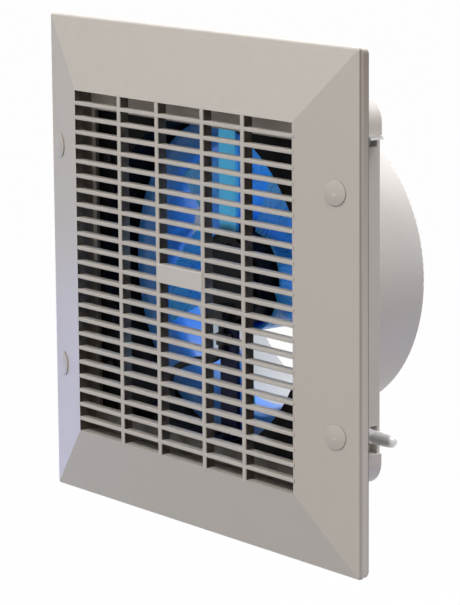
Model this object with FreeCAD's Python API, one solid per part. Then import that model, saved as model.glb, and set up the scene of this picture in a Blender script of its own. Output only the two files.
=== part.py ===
import FreeCAD, Part
import math
import os

# Panel fan, in millimetres. X runs to the right as seen from the room, Y runs into the wall, Z is up.
# The origin is on the fan axis, in the plane where the flange gasket meets the wall.

V = FreeCAD.Vector

# Fits and clearances
FIT = 0.1
LOOSE = 0.4
RUNNING = 0.05
PILOT = 0.05

# Layers at the rim, from the wall towards the room
GASKET_T = 1.0
FLANGE_T = 3.1
SKIRT_H = 2.3
FACET_RISE = 11.0
FLANGE_BACK = -GASKET_T
FLANGE_FRONT = FLANGE_BACK - FLANGE_T
SKIRT_FRONT = FLANGE_FRONT - SKIRT_H
FACE_Y = SKIRT_FRONT - FACET_RISE

# Sizes across the axis, from the duct spigot outwards to the rim of the front panel
SPIGOT_R = 76.2
SPIGOT_WALL = 2.0
THROAT_STEP = 4.2
BELL_R = 14.5
BELL_GAP = 1.5
DRUM_WALL = 2.0
DRUM_GAP = 5.5
TUB_WALL = 2.5
SIDE_INSET = 1.5
FLANGE_W = 32.4
FLANGE_INSET = 0.1
SPIGOT_BORE = SPIGOT_R - SPIGOT_WALL
THROAT_R = SPIGOT_BORE - THROAT_STEP
BELL_EDGE_R = THROAT_R + BELL_R
DRUM_BORE = BELL_EDGE_R + BELL_GAP
DRUM_R = DRUM_BORE + DRUM_WALL
TUB_INNER = DRUM_R + DRUM_GAP
TUB_HALF = TUB_INNER + TUB_WALL + SIDE_INSET
FLANGE_HALF = TUB_HALF + FLANGE_W
PANEL_HALF = FLANGE_HALF + FLANGE_INSET

# Sizes along the axis, from the tub's back towards the room
TUB_DEPTH = 35.0
TUB_BACK_T = 1.8
DRUM_BACK_GAP = 1.8
STRAP_GAP = 1.5
TUB_FLOOR = TUB_DEPTH - TUB_BACK_T
DRUM_END = TUB_FLOOR - DRUM_BACK_GAP
BELL_FRONT = DRUM_END - BELL_R
STRAP_BACK = BELL_FRONT - STRAP_GAP

# Front panel
PANEL_EDGE_R = 1.2
PANEL_WALL = 2.4
GRILLE_IN = 1.3
RETURN_T = 2.4
RETURN_GAP = 0.6
LEDGE_T = 2.0
LEDGE_SIDE_W = 3.4
LEDGE_TOP_W = 10.6
SLAT_COUNT = 23
SLAT_T = 2.1
SLAT_BACK_T = 1.5
SLAT_DEPTH = 5.6
SLAT_EDGE = 0.35
BAR_INNER_X = 19.3
BAR_STEP = 33.3
BAR_W = 3.2
BAR_BACK_W = 2.4
GRILLE_ROOT = 0.8
GRILLE_HALF = TUB_INNER - GRILLE_IN
BORDER_W = PANEL_HALF - GRILLE_HALF
SLAT_PITCH = (2 * GRILLE_HALF + SLAT_T) / (SLAT_COUNT + 1)
FACET_TILT = math.degrees(math.atan2(FACET_RISE, BORDER_W))
FACET_WALL_Y = PANEL_WALL / math.cos(math.radians(FACET_TILT))

# Blank badge plate in the middle column
BADGE_T = 0.8
BADGE_TONGUE = 4.0
BADGE_MARGIN = 0.2

# Panel screws, their seats and their caps
PANEL_SCREW_IN = 13.5
PANEL_SCREW_Z = 60.0
SEAT_BOSS_R = 6.0
SEAT_FLOOR_T = 2.2
SEAT_BORE_R = 4.6
FLANGE_BOSS_H = 2.0
FLANGE_BOSS_R = 5.0
PANEL_SHANK_R = 1.95
PANEL_HEAD_R = 3.6
PANEL_HEAD_H = 1.7
CAP_R = 6.2
CAP_RIM = 0.5
CAP_DOME = 0.8
CAP_STEM_T = 0.6
CAP_STEM_GAP = 0.2
PANEL_SCREW_X = PANEL_HALF - PANEL_SCREW_IN

# Rear housing, whose tub sits a little higher than the fan axis
TUB_RISE = 2.6
FLANGE_CORNER_R = 2.6
TUB_CORNER_R = 12.0
SIDE_INSET_FRONT = 2.0
FIXING_IN = 15.9
FIXING_R = 2.5
GASKET_INSET = 0.6
GASKET_GAP = 0.8
TUB_INNER_R = TUB_CORNER_R - SIDE_INSET - TUB_WALL
FIXING_XZ = FLANGE_HALF - FIXING_IN

# Notches in the sides of the tub
NOTCH_TOP_IN = 17.9
NOTCH_LOW_IN = 16.5
NOTCH_TOP_H = 5.6
NOTCH_LOW_H = 14.3
NOTCH_WALL = 4.0
NOTCH_DEPTH = 6.5
NOTCH_FRONT = 12.5
NOTCH_TOP_Z = TUB_RISE + TUB_HALF - NOTCH_TOP_IN
NOTCH_LOW_Z = TUB_RISE - TUB_HALF + NOTCH_LOW_IN
NOTCH_FLOOR = TUB_HALF - NOTCH_DEPTH

# Duct spigot, a little higher than the fan axis
SPIGOT_RISE = 1.3
SPIGOT_LEN = 46.7
SPIGOT_EDGE = 0.7
SPIGOT_FLANGE_W = 10.0
SPIGOT_FLANGE_T = 2.5
SPIGOT_SCREWS = 4
SPIGOT_SCREW_ANGLE = 45.0
SPIGOT_END = TUB_DEPTH + SPIGOT_LEN
SPIGOT_FLANGE_R = SPIGOT_R + SPIGOT_FLANGE_W
SPIGOT_PCR = SPIGOT_R + SPIGOT_FLANGE_W / 2

# Fan chassis: front plate, drum and rear ring
PLATE_T = 2.0
PLATE_SET = 0.2
DRUM_BACK_T = 2.0
POST_R = 4.5
POST_GAP = 5.15
POST_ANGLE = 35.0
PLATE_FRONT = FLANGE_FRONT + PLATE_SET
PLATE_BACK = PLATE_FRONT + PLATE_T
DRUM_SHELF = DRUM_END - DRUM_BACK_T
POST_PCR = DRUM_R + POST_GAP + POST_R
POST_X = POST_PCR * math.cos(math.radians(POST_ANGLE))
POST_Z = POST_PCR * math.sin(math.radians(POST_ANGLE))

# Inlet ring
THROAT_LEN = 11.0
RING_WALL = 1.8
RING_BOSS_R = 3.5
RING_BOSSES = 4
THROAT_END = DRUM_END + THROAT_LEN
RING_PCR = (THROAT_R + BELL_EDGE_R) / 2 + RING_WALL

# Motor strap
STRAP_W = 14.0
STRAP_T = 2.0
STRAP_BEND_R = 3.0
STRAP_HUB_IN = 3.0
STRAP_FOOT = 12.0
STRAP_PAD_W = 18.0
STRAP_PAD_H = 2.0
STRAP_SCREW_X = 3.6
STRAP_FRONT = STRAP_BACK - STRAP_T
STRAP_REACH = DRUM_BORE - STRAP_PAD_H
FOOT_FRONT = STRAP_BACK - STRAP_FOOT

# Motor
MOTOR_R = 25.0
MOTOR_CAN_T = 1.2
MOTOR_CAP_T = 3.0
MOTOR_CAP_LIP = 1.2
MOTOR_LEN = 29.0
SHAFT_R = 2.5
SHAFT_SET = 0.8
BUSH_R = 6.0
BUSH_FRONT_SET = 0.4
BUSH_HOUSING_T = 2.0
BUSH_HOUSING_H = 2.4
STATOR_BORE_R = 14.0
STATOR_LEN = 16.0
AIR_GAP = 0.4
COIL_LEN = 3.0
COIL_IN = 1.0
COIL_OUT = 1.4
COIL_SLOTS = 6
COIL_SLOT_W = 3.0
MOTOR_SCREW_IN = 6.0
MOTOR_SCREWS = 3
MOTOR_SCREW_ANGLE = 90.0
MOTOR_FRONT = STRAP_BACK
SHAFT_FRONT = MOTOR_FRONT + SHAFT_SET
STRAP_HUB_R = MOTOR_R - STRAP_HUB_IN
MOTOR_SCREW_PCR = STRAP_HUB_R - MOTOR_SCREW_IN
MOTOR_CAP_BACK = MOTOR_FRONT + MOTOR_CAP_T
MOTOR_BACK = MOTOR_FRONT + MOTOR_LEN
MOTOR_BORE = MOTOR_R - MOTOR_CAN_T
BUSH_END = MOTOR_BACK + BUSH_HOUSING_H
STATOR_FRONT = MOTOR_CAP_BACK + MOTOR_CAP_LIP + COIL_LEN + LOOSE
STATOR_BACK = STATOR_FRONT + STATOR_LEN

# Impeller
HUB_CLEAR = 2.0
HUB_WALL = 2.0
HUB_SET = 10.0
HUB_BACK_T = 2.0
HUB_GAP = 1.6
HUB_BOSS_R = 6.5
HUB_BOSS_H = 6.0
TIP_GAP = 1.5
BLADES = 5
BLADE_T = 1.8
BLADE_FIRST_ANGLE = 43.0
BLADE_ROOT_CHORD = 32.0
BLADE_TIP_CHORD = 60.0
BLADE_ROOT_ANGLE = 44.0
BLADE_TIP_ANGLE = 25.0
BLADE_CAMBER_RATIO = 0.10
BLADE_SET = 9.0
BLADE_SECTIONS = 3
NUT_FLATS = 8.0
NUT_H = 4.5
SHAFT_TAIL = 1.5
HUB_R = MOTOR_R + HUB_CLEAR + HUB_WALL
HUB_FRONT = MOTOR_FRONT + HUB_SET
HUB_SEAT = BUSH_END + HUB_GAP
HUB_BACK = HUB_SEAT + HUB_BACK_T
HUB_BOSS_END = HUB_BACK + HUB_BOSS_H
BLADE_MID = HUB_FRONT + BLADE_SET
IMPELLER_R = THROAT_R - TIP_GAP

# Terminal box, in the lower left corner of the tub
TBOX_SIDE_GAP = 15.5
PILLAR_W = 6.4
TBOX_H = 13.2
TBOX_DEPTH = 24.5
TBOX_WALL = 1.5
TBOX_LID_T = 1.6
TBOX_LID_LIP = 1.5
LID_SCREW_BITE = 5.0
TBOX_SHIFT = 0.5
ACCESS_MARGIN = 1.0
BLOCK_W = 14.0
BLOCK_GAP = 0.8
BLOCK_H = 8.6
BLOCK_DEPTH = 10.0
BLOCK_SET = 1.0
POLES = 3
POLE_R = 1.7
POLE_HEAD = 0.8
POLE_DEPTH = 5.0
TBOX_LEFT = TBOX_SIDE_GAP - TUB_INNER
TBOX_LOW = TUB_RISE + TBOX_SHIFT - TUB_INNER
TBOX_TOP = TBOX_LOW + TBOX_H
TBOX_FRONT = TUB_FLOOR - TBOX_DEPTH
TBOX_FLOOR = TUB_FLOOR - TBOX_WALL
TBOX_MID_Z = (TBOX_LOW + TBOX_TOP) / 2
BLOCK_FRONT = TBOX_FLOOR - BLOCK_DEPTH
LID_SCREW_X = TBOX_LEFT + PILLAR_W / 2
BLOCK_LEFT = TBOX_LEFT + PILLAR_W + FIT

# Cable gland
GLAND_SIDE = 1.0
GLAND_R = 5.0
GLAND_BORE = 3.0
GLAND_FLATS = 14.0
GLAND_HEX_H = 3.0
GLAND_NECK = 6.0
GLAND_NUT_GAP = 0.6
GLAND_NUT_H = 6.0
GLAND_DOME = 3.0
GLAND_DOME_R = 4.6
GLAND_X = BLOCK_LEFT + BLOCK_W + BLOCK_GAP + GLAND_R
TBOX_RIGHT = GLAND_X + GLAND_R + GLAND_SIDE + TBOX_WALL
GLAND_HEX_BACK = TUB_DEPTH + GLAND_HEX_H
GLAND_NECK_END = GLAND_HEX_BACK + GLAND_NECK

# Motor lead, laid from the terminal box to the motor strap
LEAD_R = 1.8
LEAD_BEND_RATIO = 0.45
LEAD_IN = 5.8
LEAD_DIP = 0.4
BOOT_LOW = -24.0
BOOT_X = -3.0
BOOT_W = 8.0
BOOT_H = 10.0
BOOT_T = 5.4
BOOT_EDGE = 1.5
LEAD_X = TBOX_RIGHT - LEAD_IN
LEAD_Y = STRAP_FRONT - LEAD_R - FIT
LEAD_POINTS = [
    V(LEAD_X, LEAD_Y, TBOX_TOP),
    V(LEAD_X, LEAD_Y, -57.0),
    V(-30.0, LEAD_Y - LEAD_DIP, -47.5),
    V(BOOT_X, LEAD_Y, -42.5),
    V(BOOT_X, LEAD_Y, BOOT_LOW),
]
BUSH_LEAD_R = 3.2
BUSH_LEAD_LEN = 8.0
BUSH_LEAD_Z = -math.sqrt((DRUM_R - DRUM_WALL / 2) ** 2 - LEAD_X ** 2)
CLIP_Z = -32.0
CLIP_W = 6.0
CLIP_T = 1.2
CLIP_FOOT = 3.4

# Hook tabs, in the upper notches
HOOK_T = 1.2
HOOK_W = 10.0
HOOK_FROM_BACK = 7.0
HOOK_LEN = 12.0
HOOK_TIP_R = 2.5
RIVET_R = 1.5
RIVET_HEAD_R = 2.0
RIVET_HEAD_H = 1.0
RIVET_FROM_TOP = 3.4
HOOK_Y = TUB_DEPTH - HOOK_FROM_BACK
HOOK_REACH = NOTCH_FLOOR + HOOK_LEN

# Latches, in the lower notches
LATCH_FROM_BACK = 8.7
LATCH_UP = 10.5
LATCH_TRAVEL = 14.0
BARREL_R = 6.0
BARREL_BORE = 5.0
BARREL_BACK_T = 2.0
BARREL_FLANGE_EDGE = 0.6
BARREL_FLANGE_T = 2.0
BARREL_NECK = 5.0
PLUNGER_R = 3.5
PLUNGER_TIP_R = 3.1
PLUNGER_OUT = 25.1
PLUNGER_COLLAR = 3.0
COLLAR_GAP = 0.3
GROOVE_R = 2.5
GROOVE_OUT = 7.8
GROOVE_W = 2.8
SPRING_WIRE_R = 0.35
SPRING_TURNS = 6
SPRING_GAP = 0.3
CLOSED_SPRING = (SPRING_TURNS + 1) * 2 * SPRING_WIRE_R
COLLAR_ROOM = CLOSED_SPRING + LATCH_TRAVEL + PLUNGER_COLLAR + COLLAR_GAP
BARREL_LEN = BARREL_BACK_T + COLLAR_ROOM + BARREL_NECK - BARREL_FLANGE_T
LATCH_Y = TUB_DEPTH - LATCH_FROM_BACK
LATCH_Z = NOTCH_LOW_Z + LATCH_UP
BARREL_FLANGE_R = BARREL_R + BARREL_FLANGE_EDGE
BARREL_INNER = NOTCH_FLOOR - BARREL_LEN
BARREL_MOUTH = NOTCH_FLOOR + BARREL_FLANGE_T
BARREL_STEP = BARREL_MOUTH - BARREL_NECK
PLUNGER_TIP = BARREL_MOUTH + PLUNGER_OUT
GROOVE_START = BARREL_MOUTH + GROOVE_OUT
COLLAR_FRONT = BARREL_STEP - COLLAR_GAP
COLLAR_BACK = COLLAR_FRONT - PLUNGER_COLLAR
SPRING_START = BARREL_INNER + BARREL_BACK_T
SPRING_COIL_R = BARREL_BORE - SPRING_GAP - SPRING_WIRE_R

# Small screws
SCREW_R = 1.45
SCREW_HEAD_R = 2.9
SCREW_HEAD_H = 1.9
SCREW_SLOT = 0.7
SLOT_MARGIN = 1.2
HEAD_EDGE = 0.7
SMALL_SCREW_R = 1.25
SMALL_HEAD_R = 2.4
SMALL_HEAD_H = 1.6
CHASSIS_SCREW_LEN = 12.0
STRAP_SCREW_LEN = 5.4


def box(x0, x1, y0, y1, z0, z1):
    return Part.makeBox(x1 - x0, y1 - y0, z1 - z0, V(x0, y0, z0))


def rod(radius, y0, y1, x=0.0, z=0.0):
    """Cylinder along Y."""
    return Part.makeCylinder(radius, y1 - y0, V(x, y0, z), V(0, 1, 0))


def tube(outer, inner, y0, y1, x=0.0, z=0.0):
    return rod(outer, y0, y1, x, z).cut(rod(inner, y0, y1, x, z))


def rod_x(radius, x0, x1, y, z):
    return Part.makeCylinder(radius, x1 - x0, V(x0, y, z), V(1, 0, 0))


def rod_z(radius, z0, z1, x, y):
    return Part.makeCylinder(radius, z1 - z0, V(x, y, z0), V(0, 0, 1))


def rounded_block(half, corner, y0, y1, rise=0.0):
    """Square block along Y with rounded upright corners, its middle above the axis by rise."""
    block = box(-half, half, y0, y1, rise - half, rise + half)
    upright = [e for e in block.Edges if abs(e.Vertexes[0].Y - e.Vertexes[1].Y) > (y1 - y0) / 2]
    return block.makeFillet(corner, upright)


def frustum(y0, half0, y1, half1):
    """Square frustum along Y, half0 at y0 and half1 at y1."""
    return Part.makeWedge(-half0, y0, -half0, -half1, -half1, half0, y1, half0, half1, half1)


def hexagon(flats, y0, y1, x=0.0, z=0.0):
    corner_r = flats / math.sqrt(3)
    points = [V(x, y0, z) + polar(corner_r, 60 * i) for i in range(7)]
    return Part.Face(Part.makePolygon(points)).extrude(V(0, y1 - y0, 0))


def polar(radius, angle):
    """Vector in the XZ plane, with the angle measured from +X towards +Z."""
    turn = math.radians(angle)
    return V(radius * math.cos(turn), 0, radius * math.sin(turn))


def corners(x, z):
    return [(sx * x, sz * z) for sx in (-1, 1) for sz in (-1, 1)]


def around(radius, count, first=0.0):
    spots = [polar(radius, first + 360 * i / count) for i in range(count)]
    return [(p.x, p.z) for p in spots]


def join(shapes):
    return shapes[0].multiFuse(shapes[1:]).removeSplitter()


def cut_all(shape, tools):
    return shape.cut(Part.makeCompound(tools))


def spin(edges):
    """Solid of revolution about the Y axis from a closed list of edges in the XY plane."""
    face = Part.Face(Part.Wire(edges))
    return face.revolve(V(0, 0, 0), V(0, 1, 0), 360)


def line(a, b):
    return Part.LineSegment(a, b).toShape()


def arc(a, middle, b):
    return Part.Arc(a, middle, b).toShape()


def mirror_x(shape):
    return shape.mirror(V(0, 0, 0), V(1, 0, 0))


def pan_screw(shank_r, head_r, head_h, length):
    """Pan-head screw along +Y with the underside of its head at the origin."""
    head = rod(head_r, -head_h, 0)
    rim = [e for e in head.Edges if abs(e.CenterOfMass.y + head_h) < 1e-6 and len(e.Vertexes) == 1]
    head = head.makeFillet(HEAD_EDGE, rim)
    slot_half = SCREW_SLOT / 2
    reach = head_r - SLOT_MARGIN
    slots = [
        box(-reach, reach, -head_h, -head_h / 2, -slot_half, slot_half),
        box(-slot_half, slot_half, -head_h, -head_h / 2, -reach, reach),
    ]
    return cut_all(head, slots).fuse(rod(shank_r, 0, length)).removeSplitter()


def placed(shape, x, y, z, axis=V(0, 0, 1), angle=0.0):
    copy = shape.copy()
    copy.rotate(V(0, 0, 0), axis, angle)
    copy.translate(V(x, y, z))
    return copy


def facet_y(x):
    """Height of the sloping border's outer surface at a distance from the axis."""
    return SKIRT_FRONT - FACET_RISE * (PANEL_HALF - x) / BORDER_W


def panel_block():
    """The front panel's outer form, solid, with softened mitres and rim."""
    half = PANEL_HALF
    skirt = box(-half, half, SKIRT_FRONT, FLANGE_FRONT, -half, half)
    block = skirt.fuse(frustum(FACE_Y, GRILLE_HALF, SKIRT_FRONT, half)).removeSplitter()
    return block.makeFillet(PANEL_EDGE_R, [e for e in block.Edges if is_soft_edge(e)])


def is_soft_edge(edge):
    ys = sorted(v.Y for v in edge.Vertexes)
    on_back = ys[1] > FLANGE_FRONT - 1e-6 and ys[0] > FLANGE_FRONT - 1e-6
    on_face = ys[1] < FACE_Y + 1e-6
    return not on_back and not on_face


def grille():
    half = GRILLE_HALF + GRILLE_ROOT
    slats = [slat(i * SLAT_PITCH - GRILLE_HALF - SLAT_T / 2, half) for i in range(1, SLAT_COUNT + 1)]
    bars = [bar(side * x, half) for side in (-1, 1) for x in (BAR_INNER_X, BAR_INNER_X + BAR_STEP)]
    return slats + bars


def grille_section(front_w, back_w):
    """Half widths and depths of a slat or bar: chamfered front edges, thinner at the back."""
    front = front_w / 2
    back = FACE_Y + SLAT_DEPTH
    chamfer = FACE_Y + SLAT_EDGE
    return [
        (front - SLAT_EDGE, FACE_Y),
        (front, chamfer),
        (back_w / 2, back),
        (-back_w / 2, back),
        (-front, chamfer),
        (-front + SLAT_EDGE, FACE_Y),
        (front - SLAT_EDGE, FACE_Y),
    ]


def slat(z, half):
    points = [V(-half, y, z + w) for w, y in grille_section(SLAT_T, SLAT_BACK_T)]
    return Part.Face(Part.makePolygon(points)).extrude(V(2 * half, 0, 0))


def bar(x, half):
    points = [V(x + w, y, -half) for w, y in grille_section(BAR_W, BAR_BACK_W)]
    return Part.Face(Part.makePolygon(points)).extrude(V(0, 0, 2 * half))


def ledge():
    """Inner ledge at the back of the grille's return wall."""
    outer = GRILLE_HALF + RETURN_T
    across = GRILLE_HALF - LEDGE_SIDE_W
    upright = GRILLE_HALF - LEDGE_TOP_W
    back = FLANGE_FRONT - RETURN_GAP
    front = back - LEDGE_T
    plate = box(-outer, outer, front, back, -outer, outer)
    return plate.cut(box(-across, across, front, back, -upright, upright))


def seat_floor():
    return FLANGE_FRONT - FLANGE_BOSS_H - SEAT_FLOOR_T


def front_panel():
    block = panel_block()
    half = GRILLE_HALF
    wall = half + RETURN_T
    skirt_inner = PANEL_HALF - PANEL_WALL
    hollow = frustum(facet_y(wall) + FACET_WALL_Y, wall, facet_y(skirt_inner) + FACET_WALL_Y, skirt_inner)
    below = box(-skirt_inner, skirt_inner, facet_y(skirt_inner) + FACET_WALL_Y, FLANGE_FRONT,
                -skirt_inner, skirt_inner)
    hollow = hollow.fuse(below).cut(box(-wall, wall, FACE_Y, FLANGE_FRONT, -wall, wall))
    trim = box(-wall, wall, FLANGE_FRONT - RETURN_GAP, FLANGE_FRONT, -wall, wall)
    shell = cut_all(block, [hollow, trim, box(-half, half, FACE_Y, FLANGE_FRONT, -half, half)])
    floor = seat_floor()
    spots = corners(PANEL_SCREW_X, PANEL_SCREW_Z)
    bosses = [rod(SEAT_BOSS_R, FACE_Y, floor + SEAT_FLOOR_T, x, z).common(block) for x, z in spots]
    body = join([shell, ledge()] + grille() + bosses)
    seats = [screw_seat(x, z, floor) for x, z in spots]
    return cut_all(body, seats)


def screw_seat(x, z, floor):
    bore = rod(SEAT_BORE_R, FACE_Y, floor, x, z)
    cone = Part.makeCone(PANEL_HEAD_R + FIT, PANEL_SHANK_R + FIT, PANEL_HEAD_H, V(x, floor, z), V(0, 1, 0))
    hole = rod(PANEL_SHANK_R + FIT, floor, floor + SEAT_FLOOR_T, x, z)
    return join([bore, cone, hole])


def badge_plate():
    low = -SLAT_T / 2
    high = SLAT_PITCH + SLAT_T / 2
    plate = box(-BAR_INNER_X, BAR_INNER_X, FACE_Y - BADGE_T, FACE_Y, low, high)
    edges = [e for e in plate.Edges if all(v.Y < FACE_Y - BADGE_T / 2 for v in e.Vertexes)]
    plate = plate.makeChamfer(BADGE_T / 2, edges)
    inner_x = BAR_INNER_X - BAR_W / 2 - BADGE_MARGIN
    low_z = SLAT_T / 2 + BADGE_MARGIN
    high_z = SLAT_PITCH - SLAT_T / 2 - BADGE_MARGIN
    tongue = box(-inner_x, inner_x, FACE_Y, FACE_Y + BADGE_TONGUE, low_z, high_z)
    return plate.fuse(tongue).removeSplitter()


def panel_screws():
    floor = seat_floor()
    head = Part.makeCone(PANEL_HEAD_R, PANEL_SHANK_R, PANEL_HEAD_H, V(0, 0, 0), V(0, 1, 0))
    reach = PANEL_HEAD_R - SLOT_MARGIN
    slot = box(-reach, reach, 0, PANEL_HEAD_H / 2, -SCREW_SLOT / 2, SCREW_SLOT / 2)
    cross = [slot, placed(slot, 0, 0, 0, V(0, 1, 0), 90)]
    length = FLANGE_BACK - PILOT - floor
    screw = cut_all(head.fuse(rod(PANEL_SHANK_R, PANEL_HEAD_H, length)).removeSplitter(), cross)
    return [placed(screw, x, floor, z) for x, z in corners(PANEL_SCREW_X, PANEL_SCREW_Z)]


def screw_caps():
    block = panel_block()
    stem_end = seat_floor() - CAP_STEM_GAP
    caps = []
    for x, z in corners(PANEL_SCREW_X, PANEL_SCREW_Z):
        stem_r = SEAT_BORE_R - FIT
        stem = tube(stem_r, stem_r - CAP_STEM_T, FACE_Y, stem_end, x, z).common(block)
        tilt = FACET_TILT if x > 0 else -FACET_TILT
        top = placed(cap_dome(), x, facet_y(PANEL_SCREW_X), z, V(0, 0, 1), tilt)
        caps.append(top.fuse(stem).removeSplitter())
    return caps


def cap_dome():
    """Low round dome that stands on the XZ plane and points along -Y."""
    sphere_r = (CAP_R ** 2 + CAP_DOME ** 2) / (2 * CAP_DOME)
    half_turn = math.asin(CAP_R / sphere_r) / 2
    crown = V(0, -CAP_RIM - CAP_DOME, 0)
    shoulder = V(CAP_R, -CAP_RIM, 0)
    middle = crown + V(sphere_r * math.sin(half_turn), sphere_r * (1 - math.cos(half_turn)), 0)
    foot = V(CAP_R, 0, 0)
    centre = V(0, 0, 0)
    top = arc(crown, middle, shoulder)
    return spin([top, line(shoulder, foot), line(foot, centre), line(centre, crown)])


def notch(side, top):
    """Notch cut and the block behind it, for one side of the tub and its upper or lower end."""
    z0 = NOTCH_TOP_Z - NOTCH_TOP_H if top else NOTCH_LOW_Z
    z1 = NOTCH_TOP_Z if top else NOTCH_LOW_Z + NOTCH_LOW_H
    inner = NOTCH_FLOOR - TUB_WALL
    block = box(inner, TUB_HALF - SIDE_INSET, NOTCH_FRONT - TUB_WALL, TUB_DEPTH,
                z0 - NOTCH_WALL, z1 + NOTCH_WALL)
    cut = box(NOTCH_FLOOR, TUB_HALF, NOTCH_FRONT, TUB_FLOOR, z0, z1)
    if side < 0:
        return mirror_x(block), mirror_x(cut)
    return block, cut


def side_recess(side):
    """Shallow set-back of the side wall, from one notch's far end to the other's."""
    cut = box(TUB_HALF - SIDE_INSET, TUB_HALF, SIDE_INSET_FRONT, TUB_DEPTH, NOTCH_LOW_Z, NOTCH_TOP_Z)
    return mirror_x(cut) if side < 0 else cut


def rear_housing():
    flange = rounded_block(FLANGE_HALF, FLANGE_CORNER_R, FLANGE_FRONT, FLANGE_BACK)
    tub = rounded_block(TUB_HALF, TUB_CORNER_R, FLANGE_FRONT, TUB_DEPTH, TUB_RISE)
    cavity = rounded_block(TUB_INNER, TUB_INNER_R, FLANGE_FRONT, TUB_FLOOR, TUB_RISE)
    shell = join([flange, tub]).cut(cavity)
    notches = [notch(side, top) for side in (-1, 1) for top in (False, True)]
    posts = [rod(POST_R, PLATE_BACK, TUB_FLOOR, x, z) for x, z in corners(POST_X, POST_Z)]
    screw_spots = corners(PANEL_SCREW_X, PANEL_SCREW_Z)
    bosses = [rod(FLANGE_BOSS_R, FLANGE_FRONT - FLANGE_BOSS_H, FLANGE_FRONT, x, z) for x, z in screw_spots]
    body = join([shell] + [n[0] for n in notches] + posts + bosses)
    cuts = [n[1] for n in notches] + [side_recess(side) for side in (-1, 1)]
    cuts.append(rod(SPIGOT_BORE, TUB_FLOOR, TUB_DEPTH, 0, SPIGOT_RISE))
    return cut_all(body, cuts + housing_holes())


def housing_holes():
    holes = []
    for x, z in corners(PANEL_SCREW_X, PANEL_SCREW_Z):
        holes.append(rod(PANEL_SHANK_R + PILOT, FLANGE_FRONT - FLANGE_BOSS_H, FLANGE_BACK, x, z))
    for x, z in corners(FIXING_XZ, FIXING_XZ):
        holes.append(rod(FIXING_R, FLANGE_FRONT, FLANGE_BACK, x, z))
    for x, z in corners(POST_X, POST_Z):
        holes.append(rod(SCREW_R + PILOT, PLATE_BACK, PLATE_FRONT + CHASSIS_SCREW_LEN + LOOSE, x, z))
    for x, z in spigot_screw_spots():
        holes.append(rod(SCREW_R + PILOT, TUB_FLOOR, TUB_DEPTH, x, z))
    holes.append(rod(GLAND_R + FIT, TUB_FLOOR, TUB_DEPTH, GLAND_X, TBOX_MID_Z))
    inner = NOTCH_FLOOR - TUB_WALL
    for hole in (rod_x(BARREL_R + FIT, inner, NOTCH_FLOOR, LATCH_Y, LATCH_Z),
                 rod_x(RIVET_R + PILOT, inner, NOTCH_FLOOR, HOOK_Y, NOTCH_TOP_Z - RIVET_FROM_TOP)):
        holes += [hole, mirror_x(hole)]
    return holes


def flange_gasket():
    outer = FLANGE_HALF - GASKET_INSET
    sheet = rounded_block(outer, FLANGE_CORNER_R, FLANGE_BACK, 0)
    opening = rounded_block(TUB_HALF + GASKET_GAP, TUB_CORNER_R + GASKET_GAP, FLANGE_BACK, 0, TUB_RISE)
    spots = corners(FIXING_XZ, FIXING_XZ)
    return cut_all(sheet, [opening] + [rod(FIXING_R, FLANGE_BACK, 0, x, z) for x, z in spots])


def duct_spigot():
    pipe = rod(SPIGOT_R, TUB_DEPTH, SPIGOT_END, 0, SPIGOT_RISE)
    end = [e for e in pipe.Edges if len(e.Vertexes) == 1 and abs(e.CenterOfMass.y - SPIGOT_END) < 1e-6]
    pipe = pipe.makeFillet(SPIGOT_EDGE, end)
    flange = rod(SPIGOT_FLANGE_R, TUB_DEPTH, TUB_DEPTH + SPIGOT_FLANGE_T, 0, SPIGOT_RISE)
    bore = rod(SPIGOT_BORE, TUB_DEPTH, SPIGOT_END, 0, SPIGOT_RISE)
    holes = [rod(SCREW_R + LOOSE, TUB_DEPTH, TUB_DEPTH + SPIGOT_FLANGE_T, x, z)
             for x, z in spigot_screw_spots()]
    return cut_all(join([pipe, flange]), [bore] + holes)


def spigot_screw_spots():
    return [(x, z + SPIGOT_RISE) for x, z in around(SPIGOT_PCR, SPIGOT_SCREWS, SPIGOT_SCREW_ANGLE)]


def spigot_screws():
    screw = pan_screw(SCREW_R, SCREW_HEAD_R, SCREW_HEAD_H, SPIGOT_FLANGE_T + TUB_BACK_T)
    return [placed(screw, x, TUB_DEPTH + SPIGOT_FLANGE_T, z, V(0, 0, 1), 180)
            for x, z in spigot_screw_spots()]


def fan_chassis():
    plate = rounded_block(TUB_INNER - LOOSE, TUB_INNER_R - LOOSE, PLATE_FRONT, PLATE_BACK, TUB_RISE)
    drum = rod(DRUM_R, PLATE_FRONT, DRUM_END)
    pads = [strap_pad(side) for side in (-1, 1)]
    body = join([plate, drum]).cut(rod(DRUM_BORE, PLATE_FRONT, DRUM_SHELF))
    body = join([body] + pads).cut(rod(THROAT_R + RING_WALL + LOOSE / 2, DRUM_SHELF, DRUM_END))
    holes = [rod(SCREW_R + LOOSE, PLATE_FRONT, PLATE_BACK, x, z) for x, z in corners(POST_X, POST_Z)]
    for x, z in around(RING_PCR, RING_BOSSES):
        holes.append(rod(SMALL_SCREW_R + LOOSE, DRUM_SHELF, DRUM_END, x, z))
    for x, y in strap_screw_spots():
        hole = rod_z(SMALL_SCREW_R + PILOT, STRAP_REACH, DRUM_R, x, y)
        holes += [hole, hole.mirror(V(0, 0, 0), V(0, 0, 1))]
    margin = ACCESS_MARGIN
    holes.append(box(TBOX_LEFT - margin, TBOX_RIGHT + margin, PLATE_FRONT, PLATE_BACK,
                     TBOX_LOW - margin, TBOX_TOP + margin))
    holes.append(lead_bush_rod(BUSH_LEAD_R + FIT))
    return cut_all(body, holes)


def strap_pad(side):
    """Flat pad inside the drum, above or below, that takes a foot of the motor strap."""
    half = STRAP_PAD_W / 2
    pad = box(-half, half, FOOT_FRONT, STRAP_BACK, STRAP_REACH, DRUM_R)
    pad = pad.common(rod(DRUM_R, FOOT_FRONT, STRAP_BACK))
    return pad if side > 0 else pad.mirror(V(0, 0, 0), V(0, 0, 1))


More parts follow.
